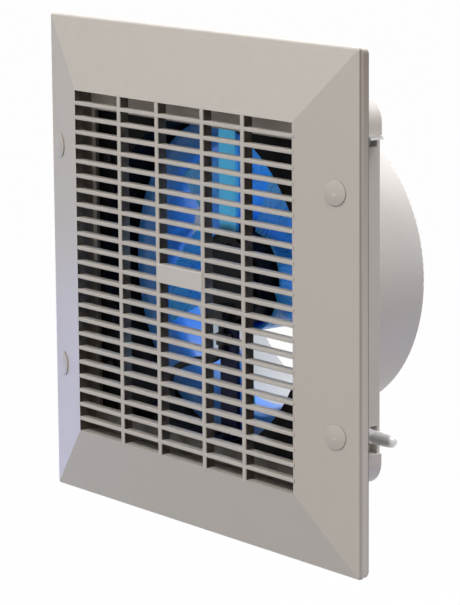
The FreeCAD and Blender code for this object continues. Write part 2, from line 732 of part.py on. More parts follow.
def strap_screw_spots():
    y = (FOOT_FRONT + STRAP_FRONT) / 2
    return [(x, y) for x in (-STRAP_SCREW_X, STRAP_SCREW_X)]


def chassis_screws():
    screw = pan_screw(SCREW_R, SCREW_HEAD_R, SCREW_HEAD_H, CHASSIS_SCREW_LEN)
    return [placed(screw, x, PLATE_FRONT, z) for x, z in corners(POST_X, POST_Z)]


def bell_face(inner_r, close_at_corner):
    """Quarter-round bell profile of the given radius about the ring's bend centre, in the XY plane."""
    start = V(BELL_EDGE_R, DRUM_END - inner_r, 0)
    end = V(BELL_EDGE_R - inner_r, DRUM_END, 0)
    reach = inner_r * math.sqrt(0.5)
    middle = V(BELL_EDGE_R - reach, DRUM_END - reach, 0)
    edges = [arc(start, middle, end)]
    if close_at_corner:
        corner = V(BELL_EDGE_R, DRUM_END, 0)
        edges += [line(end, corner), line(corner, start)]
    return edges


def inlet_ring():
    full = spin(bell_face(BELL_R, True))
    shell = full.cut(spin(bell_face(BELL_R - RING_WALL, True)))
    throat = tube(THROAT_R + RING_WALL, THROAT_R, DRUM_END, THROAT_END)
    spots = around(RING_PCR, RING_BOSSES)
    bosses = [rod(RING_BOSS_R, BELL_FRONT, DRUM_SHELF, x, z).common(full) for x, z in spots]
    body = join([shell, throat] + bosses)
    tip = DRUM_SHELF - ring_screw_bite()
    pilots = [rod(SMALL_SCREW_R + PILOT, tip, DRUM_SHELF, x, z) for x, z in spots]
    return cut_all(body, pilots)


def ring_screw_bite():
    """How far the ring's screws reach into its bosses."""
    return DRUM_SHELF - BELL_FRONT - 2 * RING_WALL - LOOSE


def ring_screws():
    length = DRUM_BACK_T + ring_screw_bite() - LOOSE
    screw = pan_screw(SMALL_SCREW_R, SMALL_HEAD_R, SMALL_HEAD_H, length)
    return [placed(screw, x, DRUM_END, z, V(0, 0, 1), 180) for x, z in around(RING_PCR, RING_BOSSES)]


def motor_bracket():
    half = STRAP_W / 2
    reach = STRAP_REACH
    outer = box(-half, half, FOOT_FRONT, STRAP_BACK, -reach, reach)
    inner = box(-half, half, FOOT_FRONT, STRAP_FRONT, STRAP_T - reach, reach - STRAP_T)
    outer = outer.makeFillet(STRAP_BEND_R, bend_edges(outer, STRAP_BACK))
    inner = inner.makeFillet(STRAP_BEND_R - STRAP_T, bend_edges(inner, STRAP_FRONT))
    hub = rod(STRAP_HUB_R, STRAP_FRONT, STRAP_BACK)
    holes = [rod(SMALL_SCREW_R + LOOSE, STRAP_FRONT, STRAP_BACK, x, z) for x, z in motor_screw_spots()]
    for x, y in strap_screw_spots():
        holes.append(rod_z(SMALL_SCREW_R + LOOSE, -reach, reach, x, y))
    return cut_all(join([outer.cut(inner), hub]), holes)


def bend_edges(block, y):
    return [e for e in block.Edges
            if all(abs(v.Y - y) < 1e-6 for v in e.Vertexes) and abs(e.Vertexes[0].X - e.Vertexes[1].X) > 1]


def motor_screw_spots():
    return around(MOTOR_SCREW_PCR, MOTOR_SCREWS, MOTOR_SCREW_ANGLE)


def bracket_screws():
    screw = pan_screw(SMALL_SCREW_R, SMALL_HEAD_R, SMALL_HEAD_H, STRAP_SCREW_LEN)
    seat = STRAP_REACH - STRAP_T
    screws = []
    for x, y in strap_screw_spots():
        screws.append(placed(screw, x, y, seat, V(1, 0, 0), 90))
        screws.append(placed(screw, x, y, -seat, V(1, 0, 0), -90))
    return screws


def motor_front_cap():
    disc = rod(MOTOR_R, MOTOR_FRONT, MOTOR_CAP_BACK)
    lip = rod(MOTOR_BORE - FIT, MOTOR_CAP_BACK, MOTOR_CAP_BACK + MOTOR_CAP_LIP)
    holes = [rod(BUSH_R + RUNNING, MOTOR_FRONT, MOTOR_CAP_BACK + MOTOR_CAP_LIP)]
    holes += [rod(SMALL_SCREW_R + PILOT, MOTOR_FRONT, MOTOR_CAP_BACK, x, z) for x, z in motor_screw_spots()]
    return cut_all(join([disc, lip]), holes)


def motor_can():
    can = join([rod(MOTOR_R, MOTOR_CAP_BACK, MOTOR_BACK),
                rod(BUSH_R + BUSH_HOUSING_T, MOTOR_BACK, BUSH_END)])
    return cut_all(can, [rod(MOTOR_BORE, MOTOR_CAP_BACK, MOTOR_BACK - MOTOR_CAN_T),
                         rod(BUSH_R + RUNNING, MOTOR_BACK - MOTOR_CAN_T, BUSH_END)])


def motor_screws():
    screw = pan_screw(SMALL_SCREW_R, SMALL_HEAD_R, SMALL_HEAD_H, STRAP_T + MOTOR_CAP_T - LOOSE)
    return [placed(screw, x, STRAP_FRONT, z) for x, z in motor_screw_spots()]


def bush(y0, y1):
    return tube(BUSH_R, SHAFT_R + RUNNING, y0, y1)


def stator_core():
    ring = tube(MOTOR_BORE - FIT, STATOR_BORE_R, STATOR_FRONT, STATOR_BACK)
    mid = (MOTOR_BORE + STATOR_BORE_R) / 2
    return cut_all(ring, [rod(COIL_SLOT_W / 2, STATOR_FRONT, STATOR_BACK, x, z)
                          for x, z in around(mid, COIL_SLOTS, 180 / COIL_SLOTS)])


def stator_coils():
    """Coil heads at both ends of the core, one solid for each pole."""
    inner = STATOR_BORE_R + COIL_IN
    outer = MOTOR_BORE - COIL_OUT
    heads = []
    for start in (STATOR_FRONT - COIL_LEN, STATOR_BACK):
        ring = tube(outer, inner, start, start + COIL_LEN)
        gaps = [placed(box(0, outer, start, start + COIL_LEN, -COIL_SLOT_W / 2, COIL_SLOT_W / 2),
                       0, 0, 0, V(0, 1, 0), 360 * i / COIL_SLOTS) for i in range(COIL_SLOTS)]
        heads += cut_all(ring, gaps).Solids
    return heads


def rotor_core():
    return tube(STATOR_BORE_R - AIR_GAP, SHAFT_R, STATOR_FRONT, STATOR_BACK)


def motor_shaft():
    return rod(SHAFT_R, SHAFT_FRONT, HUB_BOSS_END + NUT_H + SHAFT_TAIL)


def impeller():
    hub = rod(HUB_R, HUB_FRONT, HUB_BACK)
    rim = [e for e in hub.Edges if len(e.Vertexes) == 1 and abs(e.CenterOfMass.y - HUB_BACK) < 1e-6]
    hub = hub.makeFillet(HUB_BACK_T, rim)
    boss = rod(HUB_BOSS_R, HUB_SEAT, HUB_BOSS_END)
    first = fan_blade()
    blades = [placed(first, 0, 0, 0, V(0, 1, 0), -BLADE_FIRST_ANGLE - 360 * i / BLADES)
              for i in range(BLADES)]
    cavity = rod(HUB_R - HUB_WALL, HUB_FRONT - BLADE_ROOT_CHORD, HUB_SEAT)
    tips = rod(IMPELLER_R, HUB_FRONT - BLADE_ROOT_CHORD, HUB_BOSS_END)
    return cut_all(join([hub, boss] + blades).common(tips), [cavity, rod(SHAFT_R, HUB_SEAT, HUB_BOSS_END)])


def fan_blade():
    """One twisted, cambered blade along +X, from inside the hub wall to past the tip circle."""
    root = HUB_R - HUB_WALL - BLADE_T
    wires = []
    for i in range(BLADE_SECTIONS):
        share = i / (BLADE_SECTIONS - 1)
        chord = BLADE_ROOT_CHORD + share * (BLADE_TIP_CHORD - BLADE_ROOT_CHORD)
        pitch = BLADE_ROOT_ANGLE + share * (BLADE_TIP_ANGLE - BLADE_ROOT_ANGLE)
        wires.append(blade_wire(root + share * (THROAT_R - root), chord, pitch))
    return Part.makeLoft(wires, True)


def blade_wire(x, chord, pitch):
    """Closed cambered section in the plane at x: two arcs and two short ends."""
    half = chord / 2
    rise = chord * BLADE_CAMBER_RATIO
    flat = [(-half, 0), (0, rise), (half, 0), (half, BLADE_T), (0, rise + BLADE_T), (-half, BLADE_T)]
    turn = math.radians(pitch)
    p = []
    for along, up in flat:
        lift = up - BLADE_T / 2
        y = BLADE_MID - along * math.sin(turn) - lift * math.cos(turn)
        z = along * math.cos(turn) - lift * math.sin(turn)
        p.append(V(x, y, z))
    return Part.Wire([arc(p[0], p[1], p[2]), line(p[2], p[3]), arc(p[3], p[4], p[5]), line(p[5], p[0])])


def impeller_nut():
    end = HUB_BOSS_END + NUT_H
    return hexagon(NUT_FLATS, HUB_BOSS_END, end).cut(rod(SHAFT_R, HUB_BOSS_END, end))


def terminal_box():
    outer = box(TBOX_LEFT, TBOX_RIGHT, TBOX_FRONT, TUB_FLOOR, TBOX_LOW, TBOX_TOP)
    wall = TBOX_WALL
    inner = box(TBOX_LEFT + wall, TBOX_RIGHT - wall, TBOX_FRONT, TBOX_FLOOR,
                TBOX_LOW + wall, TBOX_TOP - wall)
    pillar = box(TBOX_LEFT, TBOX_LEFT + PILLAR_W, TBOX_FRONT + TBOX_LID_LIP + LOOSE, TUB_FLOOR,
                 TBOX_LOW, TBOX_TOP)
    holes = [rod(GLAND_R + FIT, TBOX_FLOOR, TUB_FLOOR, GLAND_X, TBOX_MID_Z),
             rod(SMALL_SCREW_R + PILOT, TBOX_FRONT, TBOX_FRONT + LID_SCREW_BITE + LOOSE,
                 LID_SCREW_X, TBOX_MID_Z)]
    return cut_all(join([outer.cut(inner), pillar]), holes)


def terminal_cover():
    lid = box(TBOX_LEFT, TBOX_RIGHT, TBOX_FRONT - TBOX_LID_T, TBOX_FRONT, TBOX_LOW, TBOX_TOP)
    inset = TBOX_WALL + FIT
    lip = box(TBOX_LEFT + inset, TBOX_RIGHT - inset, TBOX_FRONT, TBOX_FRONT + TBOX_LID_LIP,
              TBOX_LOW + inset, TBOX_TOP - inset)
    hole = rod(SMALL_SCREW_R + LOOSE, TBOX_FRONT - TBOX_LID_T, TBOX_FRONT + TBOX_LID_LIP,
               LID_SCREW_X, TBOX_MID_Z)
    return join([lid, lip]).cut(hole)


def cover_screw():
    screw = pan_screw(SMALL_SCREW_R, SMALL_HEAD_R, SMALL_HEAD_H, TBOX_LID_T + LID_SCREW_BITE)
    return placed(screw, LID_SCREW_X, TBOX_FRONT - TBOX_LID_T, TBOX_MID_Z)


def pole_spots():
    step = BLOCK_W / POLES
    return [BLOCK_LEFT + step * (i + 0.5) for i in range(POLES)]


def terminal_block():
    half = BLOCK_H / 2
    body = box(BLOCK_LEFT, BLOCK_LEFT + BLOCK_W, BLOCK_FRONT, TBOX_FLOOR,
               TBOX_MID_Z - half, TBOX_MID_Z + half)
    return cut_all(body, [rod(POLE_R + FIT, BLOCK_FRONT, BLOCK_FRONT + POLE_DEPTH, x, TBOX_MID_Z)
                          for x in pole_spots()])


def terminal_screws():
    screws = []
    for x in pole_spots():
        screw = rod(POLE_R, BLOCK_FRONT + BLOCK_SET, BLOCK_FRONT + POLE_DEPTH, x, TBOX_MID_Z)
        slot = box(x - POLE_R, x + POLE_R, BLOCK_FRONT + BLOCK_SET, BLOCK_FRONT + BLOCK_SET + POLE_HEAD,
                   TBOX_MID_Z - SCREW_SLOT / 2, TBOX_MID_Z + SCREW_SLOT / 2)
        screws.append(screw.cut(slot))
    return screws


def cable_gland():
    parts = [rod(GLAND_R, TBOX_FLOOR - TBOX_WALL, GLAND_NECK_END, GLAND_X, TBOX_MID_Z),
             hexagon(GLAND_FLATS, TUB_DEPTH, GLAND_HEX_BACK, GLAND_X, TBOX_MID_Z)]
    return join(parts).cut(rod(GLAND_BORE, TBOX_FLOOR - TBOX_WALL, GLAND_NECK_END, GLAND_X, TBOX_MID_Z))


def gland_nut():
    start = GLAND_HEX_BACK + GLAND_NUT_GAP
    shoulder = start + GLAND_NUT_H
    top = V(GLAND_X, shoulder, TBOX_MID_Z)
    cone = Part.makeCone(GLAND_FLATS / 2, GLAND_DOME_R, GLAND_DOME, top, V(0, 1, 0))
    body = join([hexagon(GLAND_FLATS, start, shoulder, GLAND_X, TBOX_MID_Z), cone])
    bore = rod(GLAND_BORE, start, shoulder + GLAND_DOME, GLAND_X, TBOX_MID_Z)
    seat = rod(GLAND_R + RUNNING, start, GLAND_NECK_END + GLAND_NUT_GAP, GLAND_X, TBOX_MID_Z)
    return cut_all(body, [bore, seat])


def lead_bush_rod(radius):
    half = BUSH_LEAD_LEN / 2
    return rod_z(radius, BUSH_LEAD_Z - half, BUSH_LEAD_Z + half, LEAD_X, LEAD_Y)


def lead_bush():
    return lead_bush_rod(BUSH_LEAD_R).cut(lead_bush_rod(LEAD_R + FIT))


def lead_path():
    """Straight runs joined by tangent arcs, each as large as its two runs allow."""
    edges = []
    last = LEAD_POINTS[0]
    for before, point, after in zip(LEAD_POINTS, LEAD_POINTS[1:], LEAD_POINTS[2:]):
        into = (point - before).normalize()
        out = (after - point).normalize()
        reach = LEAD_BEND_RATIO * min((point - before).Length, (after - point).Length)
        half_turn = into.getAngle(out) / 2
        radius = reach / math.tan(half_turn)
        start = point - into * reach
        end = point + out * reach
        inward = (out - into).normalize()
        middle = point + inward * (radius / math.cos(half_turn) - radius)
        edges += [line(last, start), arc(start, middle, end)]
        last = end
        print("lead bend radius", round(radius, 1))
    edges.append(line(last, LEAD_POINTS[-1]))
    return Part.Wire(edges)


def motor_lead():
    path = lead_path()
    ring = Part.Wire(Part.makeCircle(LEAD_R, LEAD_POINTS[0], V(0, 0, 1)))
    lead = path.makePipeShell([ring], True, False)
    print("lead volume over section times length", lead.Volume / (math.pi * LEAD_R ** 2 * path.Length))
    return lead


def lead_clip():
    """Saddle over the lead, flat on the front of the motor strap."""
    outer = LEAD_R + FIT + CLIP_T
    z0 = CLIP_Z - CLIP_W / 2
    z1 = CLIP_Z + CLIP_W / 2
    hoop = rod_z(outer, z0, z1, BOOT_X, LEAD_Y)
    legs = box(BOOT_X - outer, BOOT_X + outer, LEAD_Y, STRAP_FRONT, z0, z1)
    foot = box(BOOT_X, BOOT_X + outer + CLIP_FOOT, STRAP_FRONT - CLIP_T, STRAP_FRONT, z0, z1)
    inside = LEAD_R + FIT
    channel = join([rod_z(inside, z0, z1, BOOT_X, LEAD_Y),
                    box(BOOT_X - inside, BOOT_X + inside, LEAD_Y, STRAP_FRONT, z0, z1)])
    saddle = join([hoop, legs, foot])
    ahead = box(BOOT_X - outer, BOOT_X + outer + CLIP_FOOT, LEAD_Y - outer, STRAP_FRONT, z0, z1)
    return saddle.common(ahead).cut(channel)


def lead_boot():
    """Moulded boot where the lead goes into the motor."""
    half = BOOT_W / 2
    boot = box(BOOT_X - half, BOOT_X + half, STRAP_FRONT - BOOT_T, STRAP_FRONT, BOOT_LOW, BOOT_LOW + BOOT_H)
    edges = [e for e in boot.Edges if all(v.Y < STRAP_FRONT - BOOT_T / 2 for v in e.Vertexes)]
    return boot.makeFillet(BOOT_EDGE, edges)


def hook_tab():
    """Bent plate on the floor of the right upper notch, whose blade reaches out past the tub."""
    y0 = HOOK_Y - HOOK_W / 2
    y1 = HOOK_Y + HOOK_W / 2
    base = box(NOTCH_FLOOR, NOTCH_FLOOR + HOOK_T, y0, y1, NOTCH_TOP_Z - NOTCH_TOP_H, NOTCH_TOP_Z)
    blade = box(NOTCH_FLOOR, HOOK_REACH, y0, y1, NOTCH_TOP_Z - HOOK_T, NOTCH_TOP_Z)
    tips = [e for e in blade.Edges
            if all(abs(v.X - HOOK_REACH) < 1e-6 for v in e.Vertexes)
            and abs(e.Vertexes[0].Z - e.Vertexes[1].Z) > HOOK_T / 2]
    blade = blade.makeFillet(HOOK_TIP_R, tips)
    hole = rod_x(RIVET_R + PILOT, NOTCH_FLOOR, NOTCH_FLOOR + HOOK_T, HOOK_Y, NOTCH_TOP_Z - RIVET_FROM_TOP)
    return join([base, blade]).cut(hole)


def hook_rivet():
    z = NOTCH_TOP_Z - RIVET_FROM_TOP
    inner = NOTCH_FLOOR - TUB_WALL
    outer = NOTCH_FLOOR + HOOK_T
    return join([rod_x(RIVET_R, inner, outer, HOOK_Y, z),
                 rod_x(RIVET_HEAD_R, outer, outer + RIVET_HEAD_H, HOOK_Y, z),
                 rod_x(RIVET_HEAD_R, inner - RIVET_HEAD_H, inner, HOOK_Y, z)])


def pair(shape):
    return [shape, mirror_x(shape)]


def latch_barrel():
    """Barrel with a round flange on the notch's floor, cut flat under the notch's upper wall."""
    flange = rod_x(BARREL_FLANGE_R, NOTCH_FLOOR, BARREL_MOUTH, LATCH_Y, LATCH_Z)
    room = box(NOTCH_FLOOR, BARREL_MOUTH, LATCH_Y - BARREL_FLANGE_R, LATCH_Y + BARREL_FLANGE_R,
               NOTCH_LOW_Z, NOTCH_LOW_Z + NOTCH_LOW_H - FIT)
    body = join([rod_x(BARREL_R, BARREL_INNER, NOTCH_FLOOR, LATCH_Y, LATCH_Z), flange.common(room)])
    return cut_all(body, [rod_x(BARREL_BORE, SPRING_START, BARREL_STEP, LATCH_Y, LATCH_Z),
                          rod_x(PLUNGER_R + FIT, BARREL_STEP, BARREL_MOUTH, LATCH_Y, LATCH_Z)])


def latch_plunger():
    """Grooved, tapered plunger with a round nose and a collar that stays in the barrel."""
    groove_end = GROOVE_START + GROOVE_W
    nose = PLUNGER_TIP - PLUNGER_TIP_R
    collar_r = BARREL_BORE - FIT
    outline = [(COLLAR_BACK, 0), (COLLAR_BACK, collar_r),
               (COLLAR_FRONT, collar_r), (COLLAR_FRONT, PLUNGER_R),
               (GROOVE_START, PLUNGER_R), (GROOVE_START, GROOVE_R),
               (groove_end, GROOVE_R), (groove_end, PLUNGER_R), (nose, PLUNGER_TIP_R)]
    points = [V(x, LATCH_Y + r, LATCH_Z) for x, r in outline]
    tip = V(PLUNGER_TIP, LATCH_Y, LATCH_Z)
    round_r = PLUNGER_TIP_R * math.sqrt(0.5)
    edges = [line(a, b) for a, b in zip(points, points[1:])]
    edges.append(arc(points[-1], V(nose + round_r, LATCH_Y + round_r, LATCH_Z), tip))
    edges.append(line(tip, points[0]))
    return Part.Face(Part.Wire(edges)).revolve(V(0, LATCH_Y, LATCH_Z), V(1, 0, 0), 360)


def spring_point(turn):
    """Point and direction on the spring's helix after a number of turns."""
    start = SPRING_START + SPRING_WIRE_R + RUNNING
    end = COLLAR_BACK - SPRING_WIRE_R - COLLAR_GAP
    rise = (end - start) / SPRING_TURNS
    angle = 2 * math.pi * turn
    out = V(0, math.cos(angle), math.sin(angle)) * SPRING_COIL_R
    point = V(start + rise * turn, LATCH_Y, LATCH_Z) + out
    run = 2 * math.pi * SPRING_COIL_R
    along = V(rise, -run * math.sin(angle), run * math.cos(angle)).normalize()
    return point, along


def tangent_arc(a, along, b):
    """Arc from a to b that leaves a in the given direction."""
    chord = b - a
    unit = V(chord).normalize()
    side = along - unit * along.dot(unit)
    sag = chord.Length / 2 * math.tan(along.getAngle(chord) / 2)
    return arc(a, (a + b) * 0.5 + side.normalize() * sag, b)


def biarc(a, leave, b, arrive):
    """Two tangent arcs from a to b with given directions at both ends."""
    span = b - a
    total = leave + arrive
    spread = 2 * (1 - leave.dot(arrive))
    lean = span.dot(total)
    reach = (math.sqrt(lean * lean + spread * span.dot(span)) - lean) / spread
    joint = (a + b + (leave - arrive) * reach) * 0.5
    second = tangent_arc(b, arrive * -1, joint)
    return [tangent_arc(a, leave, joint), second.reversed()]


def latch_spring():
    """Compression spring between the barrel's end and the plunger's collar."""
    edges = []
    quarters = SPRING_TURNS * 4
    for i in range(quarters):
        a, leave = spring_point(i / 4)
        b, arrive = spring_point((i + 1) / 4)
        edges += biarc(a, leave, b, arrive)
    path = Part.Wire(Part.__sortEdges__(edges))
    start, along = spring_point(0)
    ring = Part.Wire(Part.makeCircle(SPRING_WIRE_R, start, along))
    gap = (spring_point(1)[0] - spring_point(0)[0]).Length - 2 * SPRING_WIRE_R
    print("spring gap between turns", round(gap, 2))
    return path.makePipeShell([ring], True, False)


def save(name, shape):
    solid = Part.makeCompound(shape) if isinstance(shape, list) else shape
    if not solid.isValid():
        print("invalid shape", name)
    solid.exportStep("parts/" + name + ".step")


def main():
    os.makedirs("parts", exist_ok=True)
    save("front_panel", front_panel())
    save("badge_plate", badge_plate())
    save("screw_caps", screw_caps())
    save("panel_screws", panel_screws())
    save("rear_housing", rear_housing())
    save("flange_gasket", flange_gasket())
    save("duct_spigot", duct_spigot())
    save("spigot_screws", spigot_screws())
    save("fan_chassis", fan_chassis())
    save("chassis_screws", chassis_screws())
    save("inlet_ring", inlet_ring())
    save("ring_screws", ring_screws())
    save("motor_bracket", motor_bracket())
    save("bracket_screws", bracket_screws())
    save("motor_front_cap", motor_front_cap())
    save("motor_can", motor_can())
    save("motor_screws", motor_screws())
    save("front_bearing", bush(MOTOR_FRONT + BUSH_FRONT_SET, MOTOR_CAP_BACK + MOTOR_CAP_LIP))
    save("rear_bearing", bush(MOTOR_BACK - MOTOR_CAN_T, BUSH_END))
    save("stator_core", stator_core())
    save("stator_coils", stator_coils())
    save("rotor_core", rotor_core())
    save("motor_shaft", motor_shaft())
    save("impeller", impeller())
    save("impeller_nut", impeller_nut())
    save("terminal_box", terminal_box())
    save("terminal_cover", terminal_cover())
    save("cover_screw", cover_screw())
    save("terminal_block", terminal_block())
    save("terminal_screws", terminal_screws())
    save("cable_gland", cable_gland())
    save("gland_nut", gland_nut())
    save("lead_bush", lead_bush())
    save("motor_lead", motor_lead())
    save("lead_clip", lead_clip())
    save("lead_boot", lead_boot())
    save("hook_tabs", pair(hook_tab()))
    save("hook_rivets", pair(hook_rivet()))
    save("latch_barrels", pair(latch_barrel()))
    plunger = latch_plunger()
    spring = latch_spring()
    save("latch_plunger_right", plunger)
    save("latch_plunger_left", mirror_x(plunger))
    save("latch_spring_right", spring)
    save("latch_spring_left", mirror_x(spring))


main()
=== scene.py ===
import math

import bpy
from bpy.props import FloatProperty, FloatVectorProperty, IntProperty, PointerProperty
from bpy.types import Operator, Panel, PropertyGroup
from mathutils import Matrix, Vector


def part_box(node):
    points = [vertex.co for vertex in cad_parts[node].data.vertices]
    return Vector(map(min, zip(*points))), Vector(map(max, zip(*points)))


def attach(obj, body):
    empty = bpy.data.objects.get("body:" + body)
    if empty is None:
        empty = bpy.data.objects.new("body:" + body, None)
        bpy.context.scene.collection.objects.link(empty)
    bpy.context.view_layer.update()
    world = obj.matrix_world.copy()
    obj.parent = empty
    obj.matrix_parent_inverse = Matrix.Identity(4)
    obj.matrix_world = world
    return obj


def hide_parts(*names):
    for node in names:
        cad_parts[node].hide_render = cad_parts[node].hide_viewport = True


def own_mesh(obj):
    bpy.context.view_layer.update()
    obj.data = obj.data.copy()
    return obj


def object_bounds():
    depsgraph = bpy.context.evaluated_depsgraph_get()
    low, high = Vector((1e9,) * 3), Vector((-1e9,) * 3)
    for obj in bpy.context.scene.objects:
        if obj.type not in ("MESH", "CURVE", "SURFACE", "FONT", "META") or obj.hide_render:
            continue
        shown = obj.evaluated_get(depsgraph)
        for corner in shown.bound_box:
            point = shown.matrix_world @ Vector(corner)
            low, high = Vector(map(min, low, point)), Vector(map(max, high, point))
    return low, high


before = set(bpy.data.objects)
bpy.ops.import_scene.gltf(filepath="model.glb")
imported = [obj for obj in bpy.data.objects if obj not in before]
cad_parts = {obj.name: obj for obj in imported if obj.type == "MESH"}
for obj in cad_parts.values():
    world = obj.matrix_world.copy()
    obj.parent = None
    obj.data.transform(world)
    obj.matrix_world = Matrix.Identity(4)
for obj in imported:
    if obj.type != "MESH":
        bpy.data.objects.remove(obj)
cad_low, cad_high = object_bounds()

bl_info = {
    "name": "Panel Fan Finish",
    "version": (1, 0, 0),
    "blender": (4, 5, 0),
    "location": "View3D > Sidebar > Panel Fan",
    "description": "Finishes, impeller, latch springs and studio for a slatted panel fan",
    "category": "Object",
}

# Blades: turns of the rounded tip, and the part of the span in which a circle is looked for
TIP_TURNS = [math.radians(degrees) for degrees in (60.0, 35.0, 12.0)]
SPAN_SEARCH = (-0.2, 1.0)

# Dust and wear
GREY_DUST = (0.12, 0.115, 0.11)
PAINT_DUST = (0.13, 0.125, 0.12)
WORN_FOAM = (0.40, 0.40, 0.42)
RUBBED_STEEL = (0.09, 0.09, 0.10)
RUST = (0.20, 0.09, 0.04)
LACQUER = (0.30, 0.10, 0.03)
SCUFFED_NYLON = (0.13, 0.13, 0.14)
SHEATH_BLOOM = (0.07, 0.07, 0.075)

# Refraction of the plastics
PLASTIC_IOR = 1.5
BLADE_IOR = 1.49
RUBBER_IOR = 1.45

# Studio lamps: place, colour, and the width and height of a soft lamp or the aim of a beam.
# A lamp's power is in StudioSetup under its name.
WHITE = (1.0, 1.0, 1.0)
LAMPS = {
    "key": ((0.2, -1.25, 1.7), WHITE, (1.3, 1.0)),
    "fill": ((1.7, -0.5, 0.35), (1.0, 0.75, 0.55), (1.0, 1.4)),
    "top": ((0.44, 0.35, 1.32), (0.90, 0.93, 1.0), (1.0, 0.9)),
    "rear": ((-0.5, 1.15, 0.3), WHITE, (0.7, 0.7)),
    "duct": ((0.22, 0.62, 0.12), (0.25, 0.6, 1.0), None, (0.0, 0.08, 0.0)),
    "cool": ((-0.65, -0.06, -0.22), (0.3, 0.4, 1.0), (0.25, 0.25)),
    "low": ((0.3, 0.35, -0.4), (0.5, 0.5, 1.0), (0.2, 0.2)),
}
BEAM_BLEND = 0.35
BEAM_SOURCE = 0.04

# Camera range and floor
CLIP_NEAR = 0.05
CLIP_FAR = 50.0
FLOOR_REACH = 12.0
# Share of plain white on the floor in the picture; the rest keeps the shadow
FLOOR_WHITE = 0.985


def colour_property(name, description, default):
    return FloatVectorProperty(name=name, description=description, default=default, size=3,
                               min=0.0, max=1.0, subtype="COLOR")


def length_property(name, description, default):
    return FloatProperty(name=name, description=description, default=default, min=0.0, precision=5,
                         unit="LENGTH")


def share_property(name, description, default):
    return FloatProperty(name=name, description=description, default=default, min=0.0, max=1.0,
                         subtype="FACTOR")


def angle_property(name, description, degrees):
    return FloatProperty(name=name, description=description, default=math.radians(degrees),
                         subtype="ANGLE", unit="ROTATION")


def power_property(name, description, default):
    return FloatProperty(name=name, description=description, default=default, min=0.0, unit="POWER")


class ShellLook(PropertyGroup):
    """Finish of the beige-grey mouldings that show from the room and from behind."""

    colour: colour_property("Shell Colour", "Beige-grey of the front panel, tub and spigot",
                            (0.50, 0.460, 0.415))
    badge: colour_property("Badge Colour", "Slightly lighter tone of the bare badge plate",
                           (0.555, 0.522, 0.485))
    dust: colour_property("Dust Colour", "Fine dust that settles on top of the slats", (0.30, 0.275, 0.24))
    dust_share: share_property("Dust", "How much of the dust shows on faces that look up", 0.30)
    # Painted shade: near-black brown laid on the upright sides of the grille's cells and on the low ledge
    cell_shade: colour_property("Grime Colour", "Brown grime on the upright sides of the cells",
                           (0.018, 0.011, 0.005))
    cell_shade_share: share_property("Grime", "How much grime shows at the front edges of the cells", 0.98)
    grille_half: length_property("Grille Half Width", "From the axis to the sides of the grille", 0.0945)
    cell_depth: length_property("Cell Depth", "How far the grime reaches into the grille", 0.012)
    # Painted shade: colour of the painted shadow line at the skirt seam, the painted shade on the flange's
    # side edges and round the screw caps
    dirt_and_shade: colour_property("Soil Colour", "Brown-grey dirt in seams and on edges", (0.18, 0.14, 0.105))
    # Painted shadow: how dark the line along the front of the panel's skirt is painted
    seam_shade_share: share_property("Seam Dirt", "How much dirt the seam beside the panel's skirt holds", 0.90)
    skirt_half: length_property("Skirt Half Width", "From the axis to the faces of the panel's skirt", 0.1290)
    skirt_front: length_property("Skirt Front", "How far the skirt starts behind the panel's front", 0.0118)
    skirt_depth: length_property("Skirt Depth", "Length of the skirt along the axis", 0.0023)
    # Painted shade: how dark the flange's side edges are painted towards the top
    edge_shade_share: share_property("Edge Film", "How much dirt the flange's edges hold at the top", 0.80)
    # Painted shade: how dark the side walls of the screw caps are painted
    cap_side_shade_share: share_property("Rim Dirt", "How much dirt the sides of the screw caps hold", 0.65)
    flow_share: share_property("Flow Marks", "Strength of the faint tone change from moulding", 0.10)
    grain_size: length_property("Grain Size", "Width of one grain of the spark-eroded texture", 0.00055)
    grain_depth: length_property("Grain Depth", "Depth of the spark-eroded texture", 0.00005)
    roughness: share_property("Roughness", "Mean roughness of the textured faces", 0.44)


class AirPathLook(PropertyGroup):
    """Finish of the pieces that carry the air."""

    chassis: colour_property("Chassis Colour", "Black of the plate and drum", (0.004, 0.004, 0.005))
    ring: colour_property("Inlet Ring Colour", "Blue of the inlet ring", (0.09, 0.36, 0.92))
    blade: colour_property("Blade Colour", "Blue of the translucent impeller", (0.06, 0.42, 0.98))
    blade_thin: colour_property("Thin Blade Colour", "Lighter blue where the moulding is thin",
                                (0.22, 0.74, 1.0))
    glow: share_property("Translucency", "How much light soaks through the blades", 0.55)
    glow_depth: length_property("Translucency Depth", "How far light spreads inside the blades", 0.006)


class MetalLook(PropertyGroup):
    """Finish of the metal pieces."""

    zinc: colour_property("Zinc Colour", "Bright zinc on screws, hooks and barrels", (0.66, 0.66, 0.65))
    steel: colour_property("Steel Colour", "Bare turned steel of shaft and plungers", (0.74, 0.72, 0.70))
    paint: colour_property("Paint Colour", "Black paint on the motor and the strap's hub",
                           (0.005, 0.006, 0.010))
    # Painted light and shade: the strap's upper arm is painted lighter and metallic, its lower arm painted
    # dark navy
    strap: colour_property("Strap Colour", "Blue metallic enamel on the upper arm of the motor strap",
                           (0.12, 0.60, 1.0))
    strap_painted_shade: colour_property("Low Strap Colour", "Darker tone of the strap's lower arm",
                               (0.006, 0.012, 0.06))
    strap_light_fade: length_property("Strap Fade", "Height over which the strap's tone changes", 0.05)
    hub_edge: length_property("Hub Edge", "Radius at which the strap's arms start", 0.024)
    hub_fade: length_property("Hub Fade", "Width over which black turns to enamel there", 0.006)
    copper: colour_property("Winding Colour", "Enamelled winding wire", (0.62, 0.22, 0.08))
    bronze: colour_property("Bush Colour", "Sintered bearing bushes", (0.44, 0.29, 0.12))
    core: colour_property("Core Colour", "Stacked steel sheets of the motor", (0.25, 0.25, 0.26))
    oxide: colour_property("Oxide Colour", "Blackened screws inside the tub", (0.018, 0.018, 0.022))


